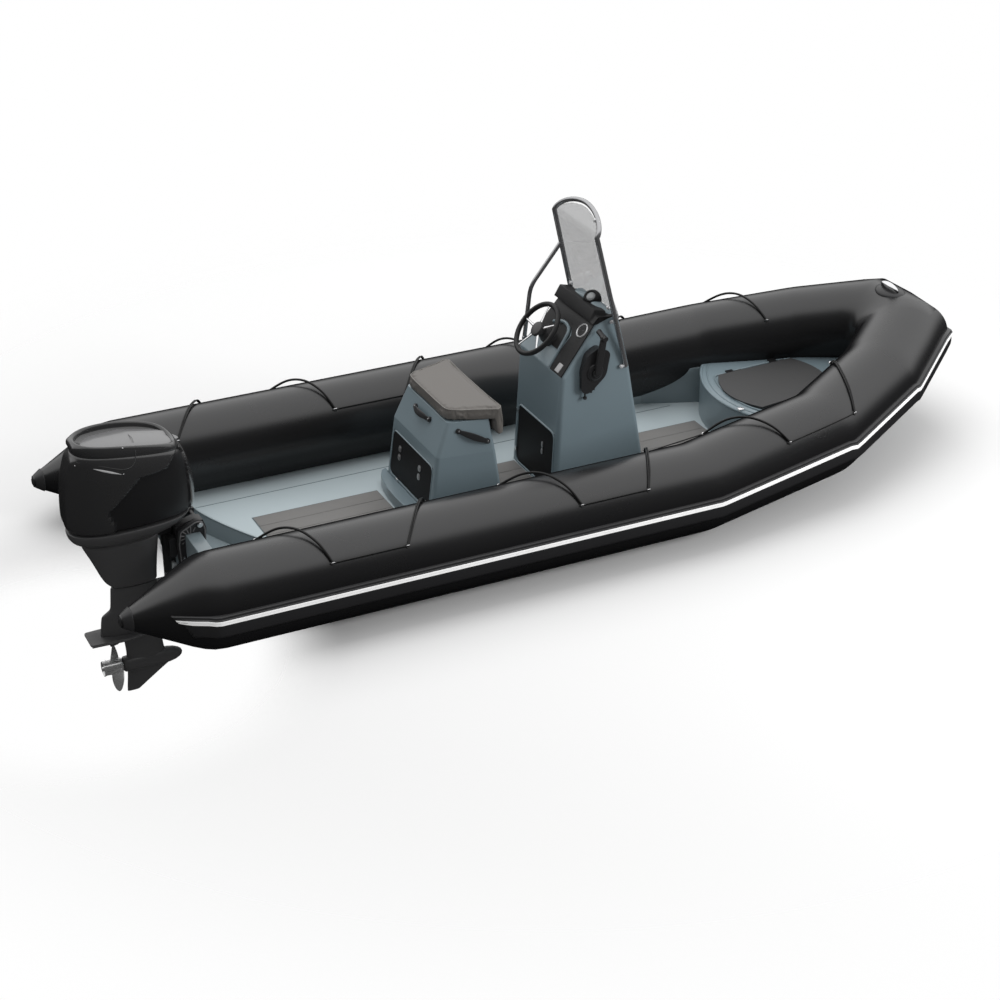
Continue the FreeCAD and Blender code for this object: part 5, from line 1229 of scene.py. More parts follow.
SCREW_HEAD = [(0.0, 0.0175), (0.004, 0.017), (0.0055, 0.0155), (0.0, 0.0150)]
STRAP_HALF = 0.017
slope_off = Vector((-0.200, 0, 0.084)).normalized()
handles, handle_screws = bmesh.new(), bmesh.new()
strap(handles, (2.156, 0.100, 0.389), (2.156, -0.100, 0.389), slope_off, STRAP_HALF, 0.028)
for side in (-1, 1):
    side_off = Vector((0.10, side, 0.12)).normalized()
    ends = (2.240, side * 0.3115, 0.388), (2.405, side * 0.3610, 0.312)
    strap(handles, *ends, side_off, STRAP_HALF, 0.024)
    for end, off in ((ends[0], side_off), (ends[1], side_off), ((2.156, side * 0.100, 0.389), slope_off)):
        turned(handle_screws, SCREW_HEAD, afloat(*end), off, steps=14)
outwards(handles, handle_screws)
piece("seat_straps", handles, throttle_black, instead_of=("seat_handles",), sharp=50)
piece("seat_strap_screws", handle_screws, plated)

# ---- seat cushion -----------------------------------------------------------------------------
# Firm foam under taupe vinyl, wrapped over the front edge of the seat, with welted seams round
# its top. It is filled by a cloth simulation and lies flat on the base.

SEAT_BRINK = (2.450, 0, 0.445)  # aft of it the cushion lies on the seat, ahead it hangs down
CUSHION_REST = (2.4475, 0, 0.4475)      # it hangs no further aft and lies no lower than this
CUSHION_PROFILE = [(0.0, 0.454), (0.0, 0.519), (2.503, 0.519), (2.503, 0.352), (2.456, 0.352),
                   (2.456, 0.454)]
CUSHION_PLAN = [                # half breadth, aft station there
    (0.000, 2.172), (0.120, 2.172), (0.215, 2.173), (0.250, 2.179), (0.276, 2.192), (0.296, 2.213),
    (0.309, 2.240), (0.318, 2.268), (0.345, 2.340), (0.358, 2.379), (0.372, 2.420), (0.380, 2.441),
    (0.386, 2.456), (0.390, 2.466)]
CUSHION_SWELL = 0.009
CUSHION_FORE, CUSHION_HALF = 2.503, 0.390
CORNER_WIDE, CORNER_DEEP = 0.050, 0.030       # its fore corners are rounded, seen from above
cushion_vinyl = finish("cushion_vinyl", (0.100, 0.093, 0.086), 0.5, depth=0.4, size=330.0,
                       mottle=0.025, patch=8.0)
# painted highlight: the welts are drawn in a lighter vinyl than the cushion, so its edges look lit
welt_highlight_vinyl = finish("welt_highlight_vinyl", (0.17, 0.162, 0.15), 0.45, depth=0.2)


def cushion_ring(y, aft):
    past = max(0.0, abs(y) - CUSHION_HALF + CORNER_WIDE) / CORNER_WIDE
    fore = CUSHION_FORE - CORNER_DEEP * (1 - math.sqrt(1 - min(1.0, past) ** 2))
    return [afloat(min(fore, max(aft, x)), y, z) for x, z in CUSHION_PROFILE]


def shown_mesh(made):
    """A mesh of an object as its modifiers leave it."""
    return bpy.data.meshes.new_from_object(made.evaluated_get(bpy.context.evaluated_depsgraph_get()))


def settle(made):
    """Put the shown mesh in place of an object's own, and take its modifiers off."""
    settled = shown_mesh(made)
    made.modifiers.clear()
    made.data = settled


def surface_of(mesh):
    """A tree that finds the nearest place on a mesh."""
    form = bmesh.new()
    form.from_mesh(mesh)
    surface = BVHTree.FromBMesh(form)
    form.free()
    return surface


both_sides = [(-y, aft) for y, aft in reversed(CUSHION_PLAN[1:])] + CUSHION_PLAN
pad = lofted([cushion_ring(y, aft) for y, aft in both_sides])
bmesh.ops.triangulate(pad, faces=pad.faces)
made = piece("cushion", pad, cushion_vinyl, instead_of=("seat_cushion",),
             sharp=180)
bpy.context.view_layer.objects.active = made
even = made.modifiers.new("even", "REMESH")
even.mode = "VOXEL"
even.voxel_size = 0.006
settle(made)
flat = [v.co.copy() for v in made.data.vertices]
filling = made.modifiers.new("filling", "CLOTH").settings
filling.use_pressure = True
filling.uniform_pressure_force = 4.0
filling.effector_weights.gravity = 0.0
filling.quality = 5
filling.tension_stiffness = filling.compression_stiffness = 60.0
filling.bending_stiffness = 8.0
for step in range(1, 21):
    bpy.context.scene.frame_set(step)
settle(made)
brink, rest = afloat(*SEAT_BRINK), afloat(*CUSHION_REST)
for vertex, before in zip(made.data.vertices, flat):
    move = vertex.co - before
    if move.length > CUSHION_SWELL:
        vertex.co = before + move * (CUSHION_SWELL / move.length)
    if before.x < brink.x:
        vertex.co.z = max(vertex.co.z, rest.z)
    elif before.z < brink.z:
        vertex.co.x = max(vertex.co.x, rest.x)
bpy.context.scene.frame_set(1)
made.data.materials.clear()
made.data.materials.append(cushion_vinyl)
made.data.shade_smooth()
softened(made, 1)
cover = surface_of(made.data)
welts = bmesh.new()
WELT_HEIGHT, WELT_REACH = 0.530, 0.03
CUSHION_MIDDLE = 2.35
edge_line = [(2.512, -0.330), (2.510, -0.385)] + [(aft - 0.004, y) for y, aft in both_sides]
edge_line += [(2.510, 0.385), (2.512, 0.330), (2.512, 0.2), (2.512, 0.07), (2.512, -0.07), (2.512, -0.2)]
welt_points = []
for x, y in edge_line + edge_line[:1]:
    outward = Vector((x - CUSHION_MIDDLE, y * 0.8, 0)).normalized() * WELT_REACH
    above = afloat(x, y, WELT_HEIGHT) + outward + Vector((0, 0, WELT_REACH))
    spot, normal = cover.find_nearest(above)[:2]
    welt_points.append(spot + normal * 0.0006)
cord_mesh(welts, welt_points, 0.0026, sides=8)
for side in (-1, 1):
    drop = [cover.find_nearest(afloat(2.53, side * 0.41, z))[0] for z in (0.520, 0.47, 0.42, 0.37)]
    cord_mesh(welts, drop, 0.0022, sides=8)
piece("cushion_welts", welts, welt_highlight_vinyl, sharp=80)

# ---- bow locker -------------------------------------------------------------------------------
# Glass fibre step moulded across the bow, with a rolled lip on its bulkhead and a hinged grey lid
# on two black butts, held by a plated turn catch.

LOCKER_FRONT, LOCKER_ARC = 4.200, 0.760
LIP_HALF = 0.468
dress("bow_locker", console_gelcoat)
lid_grey = finish("lid_grey", (0.036, 0.036, 0.0365), 0.6, depth=0.9, size=240.0)
eased("bow_locker_lid", "locker_lid", 0.0035, lid_grey, body="locker_lid", angle=40)
eased("lid_hinges", "lid_butts", 0.002, hatch_black, segments=2)


def locker_top(station):
    return 0.055 + 0.055 * (station - LOCKER_FRONT)


def bulkhead(breadth, inset, lift):
    station = LOCKER_FRONT + LOCKER_ARC - math.sqrt((LOCKER_ARC - inset) ** 2 - breadth ** 2)
    return afloat(station, breadth, locker_top(station) + lift)


lips = bmesh.new()
breadths = [LIP_HALF * k / 12 for k in range(-12, 13)]
cord_mesh(lips, [bulkhead(y, 0.004, 0.000) for y in breadths], 0.0095, sides=12)
cord_mesh(lips, [bulkhead(y, 0.045, -0.001) for y in breadths], 0.0060)
LID_EDGE = [(4.300, 0.0), (4.312, -0.14), (4.352, -0.262), (4.372, -0.288), (4.420, -0.294),
            (4.60, -0.288), (4.80, -0.276), (4.905, -0.262), (4.935, -0.245), (4.970, -0.13),
            (4.984, 0.0), (4.970, 0.13), (4.935, 0.248), (4.905, 0.268), (4.80, 0.280), (4.60, 0.291),
            (4.420, 0.296), (4.372, 0.290), (4.352, 0.264), (4.312, 0.14), (4.300, 0.0)]
piece("locker_lips", lips, console_gelcoat, sharp=80)
lid_bead = bmesh.new()
cord_mesh(lid_bead, [afloat(x - 0.012, y, locker_top(x) + 0.002) for x, y in LID_EDGE], 0.0058)
piece("locker_lid_bead", lid_bead, console_gelcoat, sharp=80)
butt_covers = bmesh.new()
for x in (4.470, 4.790):
    slab(butt_covers, (x - 0.026, 0.256, locker_top(x) + 0.001),
         (x + 0.026, 0.308, locker_top(x) + 0.013))
rounded(butt_covers, butt_covers.edges[:], 0.003, segments=2)
piece("lid_butt_covers", butt_covers, hatch_black)
CATCH_CORNERS = ((4.226, -0.235), (4.262, -0.235), (4.262, -0.200), (4.226, -0.200))
catches = panel([afloat(x, y, locker_top(4.28) + 0.002) for x, y in CATCH_CORNERS],
                Vector((0, 0, 0.016)), 0.006, 0.003)
turned(catches, [(0.0, 0.014), (0.007, 0.013), (0.010, 0.007), (0.010, 0.0), (0.0, -0.002)],
       afloat(4.634, -0.268, locker_top(4.634) + 0.020), Vector((0, 0, 1)), steps=24)
outwards(catches)
piece("locker_catch", catches, plated)

# ---- bow handle and eyes ------------------------------------------------------------------------
# A moulded black pod glued over the nose with a plated grip bowed across it; plated lugs on the
# stem and the transom take the tow and tie-down lines.

POD_LONG, POD_WIDE = 0.085, 0.118
pod_rings = []
for share, lift in ((1.06, -0.030), (1.05, -0.002), (1.0, 0.007), (0.93, 0.013), (0.80, 0.0175),
                    (0.4, 0.022)):
    ring = []
    for a in angles(40):
        x, y = POD_LONG * share * math.cos(a), POD_WIDE * share * math.sin(a)
        ring.append(afloat(5.480 + x, y, 0.577 + lift - 2.0 * x ** 2 - 0.8 * y ** 2))
    pod_rings.append(ring)
piece("bow_pod", lofted(pod_rings), cap_rubber, instead_of=("bow_handle_base",), sharp=60)
GRIP_HALF, GRIP_RISE = 0.086, 0.046
grip_rings = []
for a in (math.pi * k / 24 for k in range(25)):
    centre = afloat(5.476 - 0.020 * math.sin(a), GRIP_HALF * math.cos(a),
                    0.582 + GRIP_RISE * math.sin(a) ** 0.75)
    along = Vector((0, -math.sin(a), 0.66 * math.cos(a))).normalized()
    flat_way = Vector((1, 0, 0))
    grip_rings.append(oval(centre, flat_way, along.cross(flat_way).normalized(),
                           0.007 + 0.016 * math.sin(a), 0.005 + 0.003 * math.sin(a), 14))
piece("bow_grip", lofted(grip_rings), plated, instead_of=("bow_handle_grip",), sharp=60)
eased("towing_eye", "stem_lug", 0.003, plated, segments=2)
eased("stern_eyes", "transom_lugs", 0.003, plated, segments=2)

# ---- motor cowl -------------------------------------------------------------------------------
# Moulded plastic covers with a glossy near-black paint: the main cowl, pinched in towards its aft
# face and relieved on its sides, and a rim round a sunken top.

COWL_RINGS = [                  # from aft to fore: station, half width and height
    [(-0.027, 0.060, 0.114), (0.080, 0.170, 0.128), (0.320, 0.232, 0.158), (0.596, 0.202, 0.160),
     (0.686, 0.085, 0.160)],
    [(-0.042, 0.070, 0.122), (0.069, 0.185, 0.135), (0.320, 0.250, 0.165), (0.606, 0.218, 0.168),
     (0.704, 0.098, 0.168)],
    [(-0.044, 0.074, 0.220), (0.071, 0.192, 0.225), (0.330, 0.259, 0.240), (0.617, 0.226, 0.245),
     (0.715, 0.106, 0.245)],
    [(-0.038, 0.075, 0.340), (0.076, 0.193, 0.345), (0.330, 0.262, 0.350), (0.617, 0.225, 0.345),
     (0.711, 0.107, 0.340)],
    [(-0.020, 0.076, 0.460), (0.087, 0.190, 0.465), (0.330, 0.256, 0.460), (0.606, 0.218, 0.450),
     (0.691, 0.105, 0.440)],
    [(0.004, 0.074, 0.535), (0.102, 0.178, 0.540), (0.330, 0.238, 0.535), (0.590, 0.205, 0.515),
     (0.668, 0.102, 0.500)],
    [(0.019, 0.072, 0.588), (0.111, 0.166, 0.592), (0.330, 0.214, 0.586), (0.576, 0.192, 0.558),
     (0.649, 0.100, 0.536)],
    [(0.032, 0.064, 0.594), (0.121, 0.154, 0.598), (0.330, 0.200, 0.592), (0.566, 0.180, 0.562),
     (0.636, 0.092, 0.540)],
    [(0.028, 0.068, 0.602), (0.117, 0.160, 0.606), (0.330, 0.206, 0.600), (0.570, 0.186, 0.570),
     (0.640, 0.096, 0.547)],
    [(0.030, 0.068, 0.636), (0.119, 0.156, 0.638), (0.330, 0.196, 0.628), (0.564, 0.180, 0.592),
     (0.630, 0.095, 0.564)],
    [(0.041, 0.064, 0.659), (0.126, 0.147, 0.661), (0.330, 0.184, 0.650), (0.555, 0.170, 0.607),
     (0.619, 0.091, 0.577)],
    [(0.058, 0.056, 0.660), (0.137, 0.134, 0.661), (0.330, 0.168, 0.649), (0.542, 0.156, 0.606),
     (0.603, 0.083, 0.577)],
    [(0.069, 0.050, 0.640), (0.145, 0.126, 0.640), (0.330, 0.158, 0.630), (0.534, 0.148, 0.592),
     (0.592, 0.077, 0.564)],
    [(0.071, 0.049, 0.612), (0.148, 0.124, 0.610), (0.330, 0.156, 0.600), (0.532, 0.146, 0.566),
     (0.590, 0.076, 0.546)]]
RELIEF = [(0.193, 0.110), (0.193, 0.196), (0.162, 0.277), (0.277, 0.396), (0.350, 0.470),
          (0.513, 0.487), (0.600, 0.560), (0.648, 0.560), (0.648, 0.110)]
RELIEF_DEPTH, RELIEF_STEP = 0.011, 0.007


def egg(stations):
    """A ring seen from above: starboard from aft to fore, then port back aft."""
    half = [afloat(x, -y, z) for x, y, z in stations]
    return half + [Vector((p.x, -p.y, p.z)) for p in reversed(half)]


def subdivided(bm, levels=3):
    """The smooth limit of a cage, as a new bmesh."""
    data = bpy.data.meshes.new("cage")
    bm.to_mesh(data)
    bm.free()
    cage = placed("cage", data)
    softened(cage, levels).boundary_smooth = "PRESERVE_CORNERS"
    result = shown_mesh(cage)
    fresh = bmesh.new()
    fresh.from_mesh(result)
    bpy.data.objects.remove(cage)
    bpy.data.meshes.remove(data)
    bpy.data.meshes.remove(result)
    return fresh


def edge_gap(outline, x, z):
    """Distance inside an outline, negative outside it."""
    nearest, inside = 1e9, False
    for (x0, z0), (x1, z1) in zip(outline, outline[1:] + outline[:1]):
        along = Vector((x1 - x0, z1 - z0))
        share = max(0.0, min(1.0, Vector((x - x0, z - z0)).dot(along) / along.length_squared))
        nearest = min(nearest, math.hypot(x - x0 - share * along.x, z - z0 - share * along.y))
        if (z0 > z) != (z1 > z) and x < x0 + (z - z0) * (x1 - x0) / (z1 - z0):
            inside = not inside
    return nearest if inside else -nearest


def eased_step(value, width):
    share = max(0.0, min(1.0, 0.5 + value / width))
    return share * share * (3 - 2 * share)


cowl_paint = finish("cowl_paint", (0.021, 0.021, 0.0215), 0.24, depth=0.02, mottle=0.06, patch=4.0,
                    Coat_Weight=0.5, Coat_Roughness=0.06)
motor_paint = finish("motor_paint", (0.044, 0.044, 0.045), 0.4, size=900.0, mottle=0.08,
                     Coat_Weight=0.15, Coat_Roughness=0.2)
cowl = lofted([egg(ring) for ring in COWL_RINGS])
aft_face = afloat(0.1, 0, 0).x
crease = cowl.edges.layers.float.new("crease_edge")
for edge in cowl.edges:
    low, high = sorted(v.co.z for v in edge.verts)
    if high - low > 0.02 and all(abs(v.co.y) < 0.085 and v.co.x < aft_face for v in edge.verts):
        edge[crease] = 0.8
cowl = subdivided(cowl, 4)
for (x0, z0), (x1, z1) in zip(RELIEF, RELIEF[1:] + RELIEF[:1]):
    bmesh.ops.bisect_plane(cowl, geom=whole(cowl), dist=0.0008, plane_co=afloat(x0, 0, z0),
                           plane_no=(z1 - z0, 0, x0 - x1))
cowl.normal_update()


def relief_gap(place):
    return edge_gap(RELIEF, place.x + AMIDSHIPS, place.z - AXIS_HEIGHT)


def on_side(place, normal):
    return abs(normal.y) > 0.15 and abs(place.y) > 0.10


moves = []
for vertex in cowl.verts:
    depth = RELIEF_DEPTH * eased_step(relief_gap(vertex.co), RELIEF_STEP)
    if depth > 0.0 and on_side(vertex.co, vertex.normal):
        moves.append((vertex, vertex.normal * -depth))
for vertex, step in moves:
    vertex.co += step
skin = BVHTree.FromBMesh(cowl)
made = piece("cowl_shell", cowl, cowl_paint, body="motor", instead_of=("cowl",), sharp=30)
recess_paint = finish("cowl_recess_paint", (0.010, 0.010, 0.0105), 0.34, depth=0.02, mottle=0.06,
                      Specular_IOR_Level=0.3)
made.data.materials.append(recess_paint)
for face in made.data.polygons:
    if relief_gap(face.center) > 0.0 and on_side(face.center, face.normal):
        face.material_index = 1

# The sunken top is a separate satin grey panel, and a trim line runs over it and down each side.

panel_grey = finish("cowl_panel_grey", (0.125, 0.125, 0.127), 0.3, depth=0.05, mottle=0.03,
                    Coat_Weight=0.3)
top = lofted([egg([(x + inset * 0.12, max(0.01, y - inset * 0.16), z + lift)
                   for x, y, z in COWL_RINGS[-1]])
              for inset, lift in ((-0.03, 0.003), (0.1, 0.006), (0.5, 0.010))])
piece("cowl_top_panel", top, panel_grey, body="motor", sharp=60)

TRIM_LINE = [(0.052, -0.090, 0.566), (0.085, -0.150, 0.572), (0.150, -0.190, 0.566),
             (0.220, -0.222, 0.548), (0.275, -0.236, 0.536), (0.318, -0.236, 0.546),
             (0.345, -0.222, 0.580), (0.356, -0.196, 0.640), (0.362, -0.176, 0.652)]
SLIT_ENDS = [(0.106, -0.180, 0.552), (0.252, -0.235, 0.512)]


def on_skin(point):
    """The nearest place on the cowl's skin, and the way out of it there."""
    return skin.find_nearest(point)[:2]


trims = bmesh.new()
trim_places = []
for point in TRIM_LINE:
    spot, normal = on_skin(afloat(*point))
    trim_places.append(spot + normal * 0.0004)
cord_mesh(trims, trim_places, 0.0016, sides=8)
cord_mesh(trims, [afloat(*p) for p in ((0.364, -0.160, 0.600), (0.380, -0.07, 0.606), (0.386, 0.0, 0.608))],
          0.0014, sides=8)
slit_start, slit_end = (on_skin(afloat(*point))[0] for point in SLIT_ENDS)
both_boards(trims)
piece("cowl_trim", trims, motor_paint, body="motor", sharp=80)
rings = []
for share, half in ((0.0, 0.0006), (0.12, 0.0030), (0.35, 0.0058), (0.65, 0.0058), (0.88, 0.0030),
                    (1.0, 0.0006)):
    spot, normal = on_skin(slit_start.lerp(slit_end, share))
    up = (Vector((0, 0, 1)) - normal * normal.z).normalized()
    rings.append([spot + up * (half * math.cos(a)) + normal * (0.0018 * math.sin(a) + 0.0004)
                  for a in angles(10)])
slits, screws = lofted(rings), bmesh.new()
for point in ((0.040, -0.088, 0.548), (0.262, -0.240, 0.510), (0.285, -0.185, 0.648),
              (0.012, -0.085, 0.150)):
    spot, normal = on_skin(afloat(*point))
    turned(screws, [(0.0, 0.0022), (0.0030, 0.0016), (0.0044, 0.0), (0.0, -0.002)], spot, normal, steps=14)
both_boards(slits)
both_boards(screws)
piece("cowl_slit", slits, switch_grey, body="motor", sharp=60)
piece("cowl_screws", screws, plated, body="motor", sharp=60)

# ---- skirt and midsection ---------------------------------------------------------------------
# The lower cover closes round the powerhead under a rubber-sealed joint; below it the cast drive
# housing narrows aft and down to the leg.

SKIRT_RINGS = [
    [(-0.027, 0.060, 0.112), (0.080, 0.170, 0.126), (0.320, 0.232, 0.156), (0.590, 0.200, 0.158),
     (0.672, 0.085, 0.158)],
    [(-0.040, 0.070, 0.106), (0.071, 0.182, 0.120), (0.320, 0.246, 0.150), (0.596, 0.208, 0.152),
     (0.682, 0.092, 0.152)],
    [(-0.038, 0.070, 0.086), (0.076, 0.178, 0.096), (0.320, 0.238, 0.118), (0.574, 0.196, 0.122),
     (0.662, 0.086, 0.126)],
    [(-0.029, 0.068, 0.058), (0.084, 0.160, 0.062), (0.309, 0.208, 0.072), (0.540, 0.164, 0.080),
     (0.628, 0.076, 0.088)],
    [(-0.009, 0.062, 0.034), (0.097, 0.134, 0.034), (0.309, 0.166, 0.036), (0.486, 0.124, 0.046),
     (0.566, 0.062, 0.054)],
    [(0.020, 0.050, 0.026), (0.113, 0.105, 0.024), (0.309, 0.138, 0.022), (0.456, 0.104, 0.026),
     (0.530, 0.054, 0.030)]]
MIDSECTION_RINGS = [            # height, then stations and half widths from aft to fore
    (0.034, (0.024, 0.050), (0.120, 0.112), (0.30, 0.136), (0.44, 0.118), (0.490, 0.056)),
    (-0.020, (0.042, 0.048), (0.128, 0.104), (0.30, 0.124), (0.44, 0.104), (0.484, 0.050)),
    (-0.110, (0.086, 0.042), (0.160, 0.086), (0.31, 0.100), (0.43, 0.084), (0.476, 0.040)),
    (-0.210, (0.124, 0.036), (0.190, 0.068), (0.31, 0.078), (0.42, 0.066), (0.466, 0.032)),
    (-0.270, (0.152, 0.032), (0.205, 0.058), (0.31, 0.066), (0.42, 0.056), (0.462, 0.028)),
    (-0.292, (0.180, 0.028), (0.215, 0.054), (0.31, 0.062), (0.42, 0.054), (0.462, 0.027)),
    (-0.301, (0.184, 0.026), (0.218, 0.050), (0.31, 0.058), (0.42, 0.050), (0.458, 0.025))]
skirt = subdivided(lofted([egg(ring) for ring in SKIRT_RINGS]))
piece("cowl_apron", skirt, motor_paint, body="motor", instead_of=("cowl_skirt",), sharp=70)
housing = subdivided(lofted([egg([(x, half, z) for x, half in row]) for z, *row in MIDSECTION_RINGS]))
piece("drive_housing", housing, motor_paint, body="motor", instead_of=("midsection",),
      sharp=70)

# ---- leg, gearcase and skeg -------------------------------------------------------------------
# One aluminium casting, painted black: a streamlined strut with a stepped trailing edge, the
# ventilation plate, the torpedo with the gears, and the skeg under it.

SHAFT_HEIGHT = -0.837
LEG_RINGS = [                   # height, trailing and leading edge, half width
    (-0.3035, 0.182, 0.458, 0.056), (-0.312, 0.180, 0.458, 0.056), (-0.440, 0.170, 0.452, 0.047),
    (-0.458, 0.164, 0.452, 0.046), (-0.484, 0.116, 0.451, 0.045), (-0.500, 0.108, 0.450, 0.045),
    (-0.590, 0.098, 0.450, 0.045), (-0.612, 0.096, 0.450, 0.046), (-0.622, 0.096, 0.450, 0.046)]
STRUT_RINGS = [
    (-0.618, 0.222, 0.456, 0.044), (-0.650, 0.228, 0.458, 0.036), (-0.730, 0.236, 0.462, 0.032),
    (-0.782, 0.238, 0.468, 0.034), (-0.806, 0.232, 0.480, 0.044), (-0.837, 0.222, 0.500, 0.048)]
SKEG_RINGS = [
    (-0.850, 0.240, 0.548, 0.010), (-0.930, 0.234, 0.430, 0.0085), (-1.000, 0.227, 0.332, 0.0065),
    (-1.022, 0.226, 0.302, 0.005), (-1.027, 0.230, 0.292, 0.003)]


def foil(height, aft, fore, half):
    length = fore - aft
    return egg([(aft, half * 0.22, height), (aft + length * 0.22, half * 0.74, height),
                (aft + length * 0.58, half, height), (fore - length * 0.14, half * 0.72, height),
                (fore, half * 0.22, height)])


def merged(bm, extra):
    """Move the shape of one bmesh into another."""
    data = bpy.data.meshes.new("extra")
    extra.to_mesh(data)
    extra.free()
    bm.from_mesh(data)
    bpy.data.meshes.remove(data)


PLATE_HEIGHT = -0.628
gears = subdivided(lofted([foil(*row) for row in LEG_RINGS]))
merged(gears, subdivided(lofted([foil(*row) for row in STRUT_RINGS])))
turned(gears, [(0.0, 0.214), (0.040, 0.214), (0.0465, 0.222), (0.0490, 0.260), (0.0500, 0.330),
               (0.0500, 0.440), (0.0470, 0.490), (0.0400, 0.525), (0.0300, 0.550), (0.0180, 0.566),
               (0.0, 0.574)], afloat(0, 0, SHAFT_HEIGHT), Vector((1, 0, 0)), steps=48)
lofted([foil(*row) for row in SKEG_RINGS], bm=gears)
tab_corners = ((0.135, PLATE_HEIGHT), (0.215, PLATE_HEIGHT), (0.200, -0.690), (0.150, -0.700))
merged(gears, panel([afloat(x, -0.006, z) for x, z in tab_corners], Vector((0, 0.012, 0)), 0.008, 0.002))
piece("leg_and_gearcase", gears, motor_paint, body="motor", instead_of=("gearcase",),
      sharp=50)
WING_PLAN = ((0.020, -0.080), (0.240, -0.092), (0.440, -0.056), (0.440, 0.056), (0.240, 0.092),
             (0.020, 0.080))
wing = panel([afloat(x, y, PLATE_HEIGHT) for x, y in WING_PLAN], Vector((0, 0, 0.013)), 0.018, 0.003)
for side in (-1, 1):
    bar_mesh(wing, [afloat(0.026, side * 0.079, -0.626), afloat(0.240, side * 0.0895, -0.626),
                    afloat(0.400, side * 0.064, -0.624)], 0.0065, bend=0.02, sides=12)
outwards(wing)
piece("ventilation_wing", wing, motor_paint, body="motor",
      instead_of=("ventilation_plate",))

# ---- propeller --------------------------------------------------------------------------------
# Polished cast steel: three raked, twisted blades round a hollow barrel that the exhaust leaves by,
# and a nut at its aft end.

BLADE_SECTIONS = [              # radius, chord, thickness, skew aft, lean round
    (0.036, 0.066, 0.0110, 0.000, 0.000), (0.060, 0.088, 0.0085, 0.001, 0.002),
    (0.085, 0.106, 0.0066, 0.003, 0.004), (0.108, 0.110, 0.0052, 0.005, 0.002),
    (0.128, 0.098, 0.0042, 0.007, -0.003), (0.143, 0.072, 0.0034, 0.009, -0.009),
    (0.152, 0.040, 0.0026, 0.010, -0.014), (0.1545, 0.016, 0.0018, 0.0105, -0.017)]
BLADE_ADVANCE = 0.39            # metres a turn
BLADE_STATION = 0.166
propeller_steel = finish("propeller_steel", (0.62, 0.62, 0.62), 0.24, depth=0.05, patch=20.0,
                         Metallic=0.75)
screw = bmesh.new()
for turn in angles(3):
    rings = []
    for radius, chord, thick, back, lean in BLADE_SECTIONS:
        pitch = math.atan2(BLADE_ADVANCE, 2 * math.pi * radius)
        ring = []
        for a in angles(16):
            along, out = chord / 2 * math.cos(a), thick / 2 * math.sin(a)
            axial = along * math.sin(pitch) + out * math.cos(pitch) - back
            round_way = along * math.cos(pitch) - out * math.sin(pitch) + lean
            swing = round_way / radius + turn
            ring.append(afloat(BLADE_STATION + axial, radius * math.sin(swing),
                               SHAFT_HEIGHT + radius * math.cos(swing)))
        rings.append(ring)
    lofted(rings, bm=screw)
turned(screw, [(0.0, 0.200), (0.030, 0.200), (0.036, 0.206), (0.0425, 0.205), (0.0450, 0.196),
               (0.0440, 0.130), (0.0425, 0.108), (0.0460, 0.096), (0.0445, 0.092), (0.0395, 0.100),
               (0.0375, 0.150), (0.0, 0.150)], afloat(0, 0, SHAFT_HEIGHT), Vector((1, 0, 0)), steps=48)
turned(screw, [(0.0, 0.152), (0.024, 0.150), (0.021, 0.112), (0.0145, 0.104), (0.0135, 0.090),
               (0.006, 0.084), (0.0, 0.084)], afloat(0, 0, SHAFT_HEIGHT), Vector((1, 0, 0)), steps=32)
outwards(screw)
piece("propeller_cast", screw, propeller_steel, body="propeller",
      instead_of=("propeller",), sharp=60)

# ---- brackets ---------------------------------------------------------------------------------
# Black castings: ribbed clamp plates bolted over the transom, and the swivel bracket that tilts
# on the tube between them and carries the steering pin.

bracket_black = finish("bracket_black", (0.016, 0.016, 0.017), 0.38, depth=0.3, size=700.0, mottle=0.1)
for node, casting_name, width, body in (
        ("clamp_bracket", "clamp_casting", 0.004, "boat"),
        ("swivel_bracket", "swivel_casting", 0.0035, "motor_tilt"),
        ("steering_yoke", "yoke_casting", 0.003, "motor")):
    eased(node, casting_name, width, bracket_black, body=body, segments=2)
casting = surface_of(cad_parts["clamp_bracket"].data)


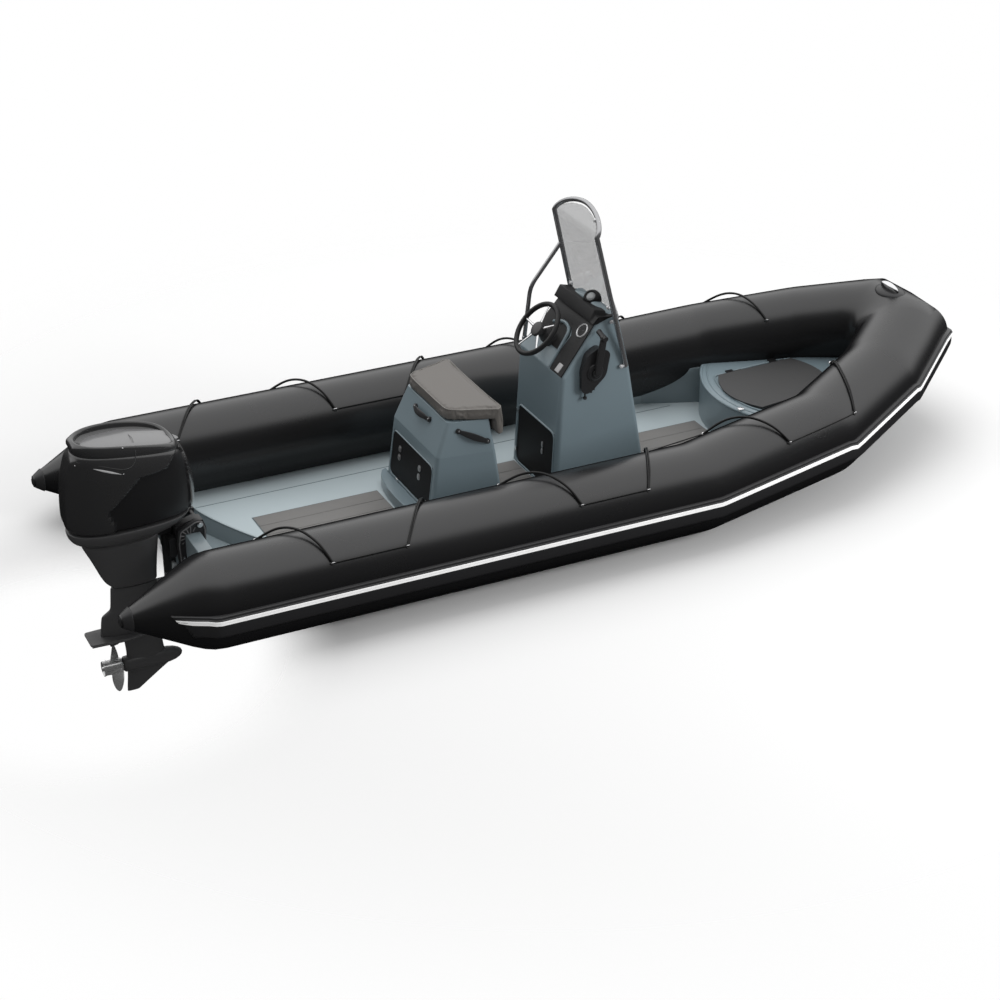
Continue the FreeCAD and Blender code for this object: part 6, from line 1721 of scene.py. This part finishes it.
def on_casting(x, board, z):
    """Place on the outer face of a clamp plate, or none where there is no plate."""
    spot = casting.ray_cast(afloat(x, board * 0.3, z), Vector((0, -board, 0)))[0]
    return spot + Vector((0, board * 0.002, 0)) if spot and abs(spot.y) > 0.10 else None


PLATE_FACE = 0.132              # breadth of the clamp plates' outer faces
FAN_CENTRE = (0.640, -0.018)    # station and height of the bolt that the ribs fan out from
TILT_TUBE = (0.700, 0.048)      # and of the tube that the motor tilts on
TILT_TUBE_END = 0.140
RIB_SPANS = (0.020, 0.034, 0.048, 0.062)
PLATE_EDGE = ((0.585, -0.280), (0.572, -0.060), (0.585, 0.020), (0.672, 0.066), (0.712, 0.066),
              (0.728, 0.016), (0.724, -0.080))
ribs, bolts = bmesh.new(), bmesh.new()
# painted highlight: the ribs and the plates' edge beads are part of the black casting, drawn in a lighter
# grey with a clear coat so that they look lit
rib_highlight_grey = finish("rib_highlight_grey", (0.10, 0.10, 0.102), 0.25, depth=0.2, mottle=0.1, Coat_Weight=0.5)
for board in (-1, 1):
    for angle in range(-62, 121, 26):
        a = math.radians(angle)
        way = [on_casting(FAN_CENTRE[0] - reach * math.cos(a), board, FAN_CENTRE[1] + reach * math.sin(a))
               for reach in RIB_SPANS]
        way = [spot for spot in way if spot]
        if len(way) > 1:
            bar_mesh(ribs, way, 0.0036, sides=8)
    bar_mesh(ribs, [afloat(x, board * PLATE_FACE + board * 0.001, z) for x, z in PLATE_EDGE], 0.0045,
             bend=0.012, sides=10)
    for x, z, size in ((0.594, -0.235, 0.010), (0.594, -0.150, 0.010), (*FAN_CENTRE, 0.012),
                       (*TILT_TUBE, 0.017)):
        turned(bolts, [(0.0, 0.008), (size * 0.75, 0.008), (size * 0.8, 0.007), (size * 0.8, 0.002),
                       (size, 0.002), (size, 0.0), (0.0, -0.002)],
               afloat(x, board * (TILT_TUBE_END if z > 0 else PLATE_FACE), z), Vector((0, board, 0)),
               steps=6 if size < 0.011 else 24)
outwards(ribs, bolts)
piece("clamp_ribs", ribs, rib_highlight_grey, sharp=60)
piece("clamp_bolts", bolts, plated)
engine_iron = finish("engine_iron", (0.12, 0.12, 0.122), 0.45, depth=0.5, size=200.0, mottle=0.15,
                     Metallic=0.6)
dress("engine_block", engine_iron)
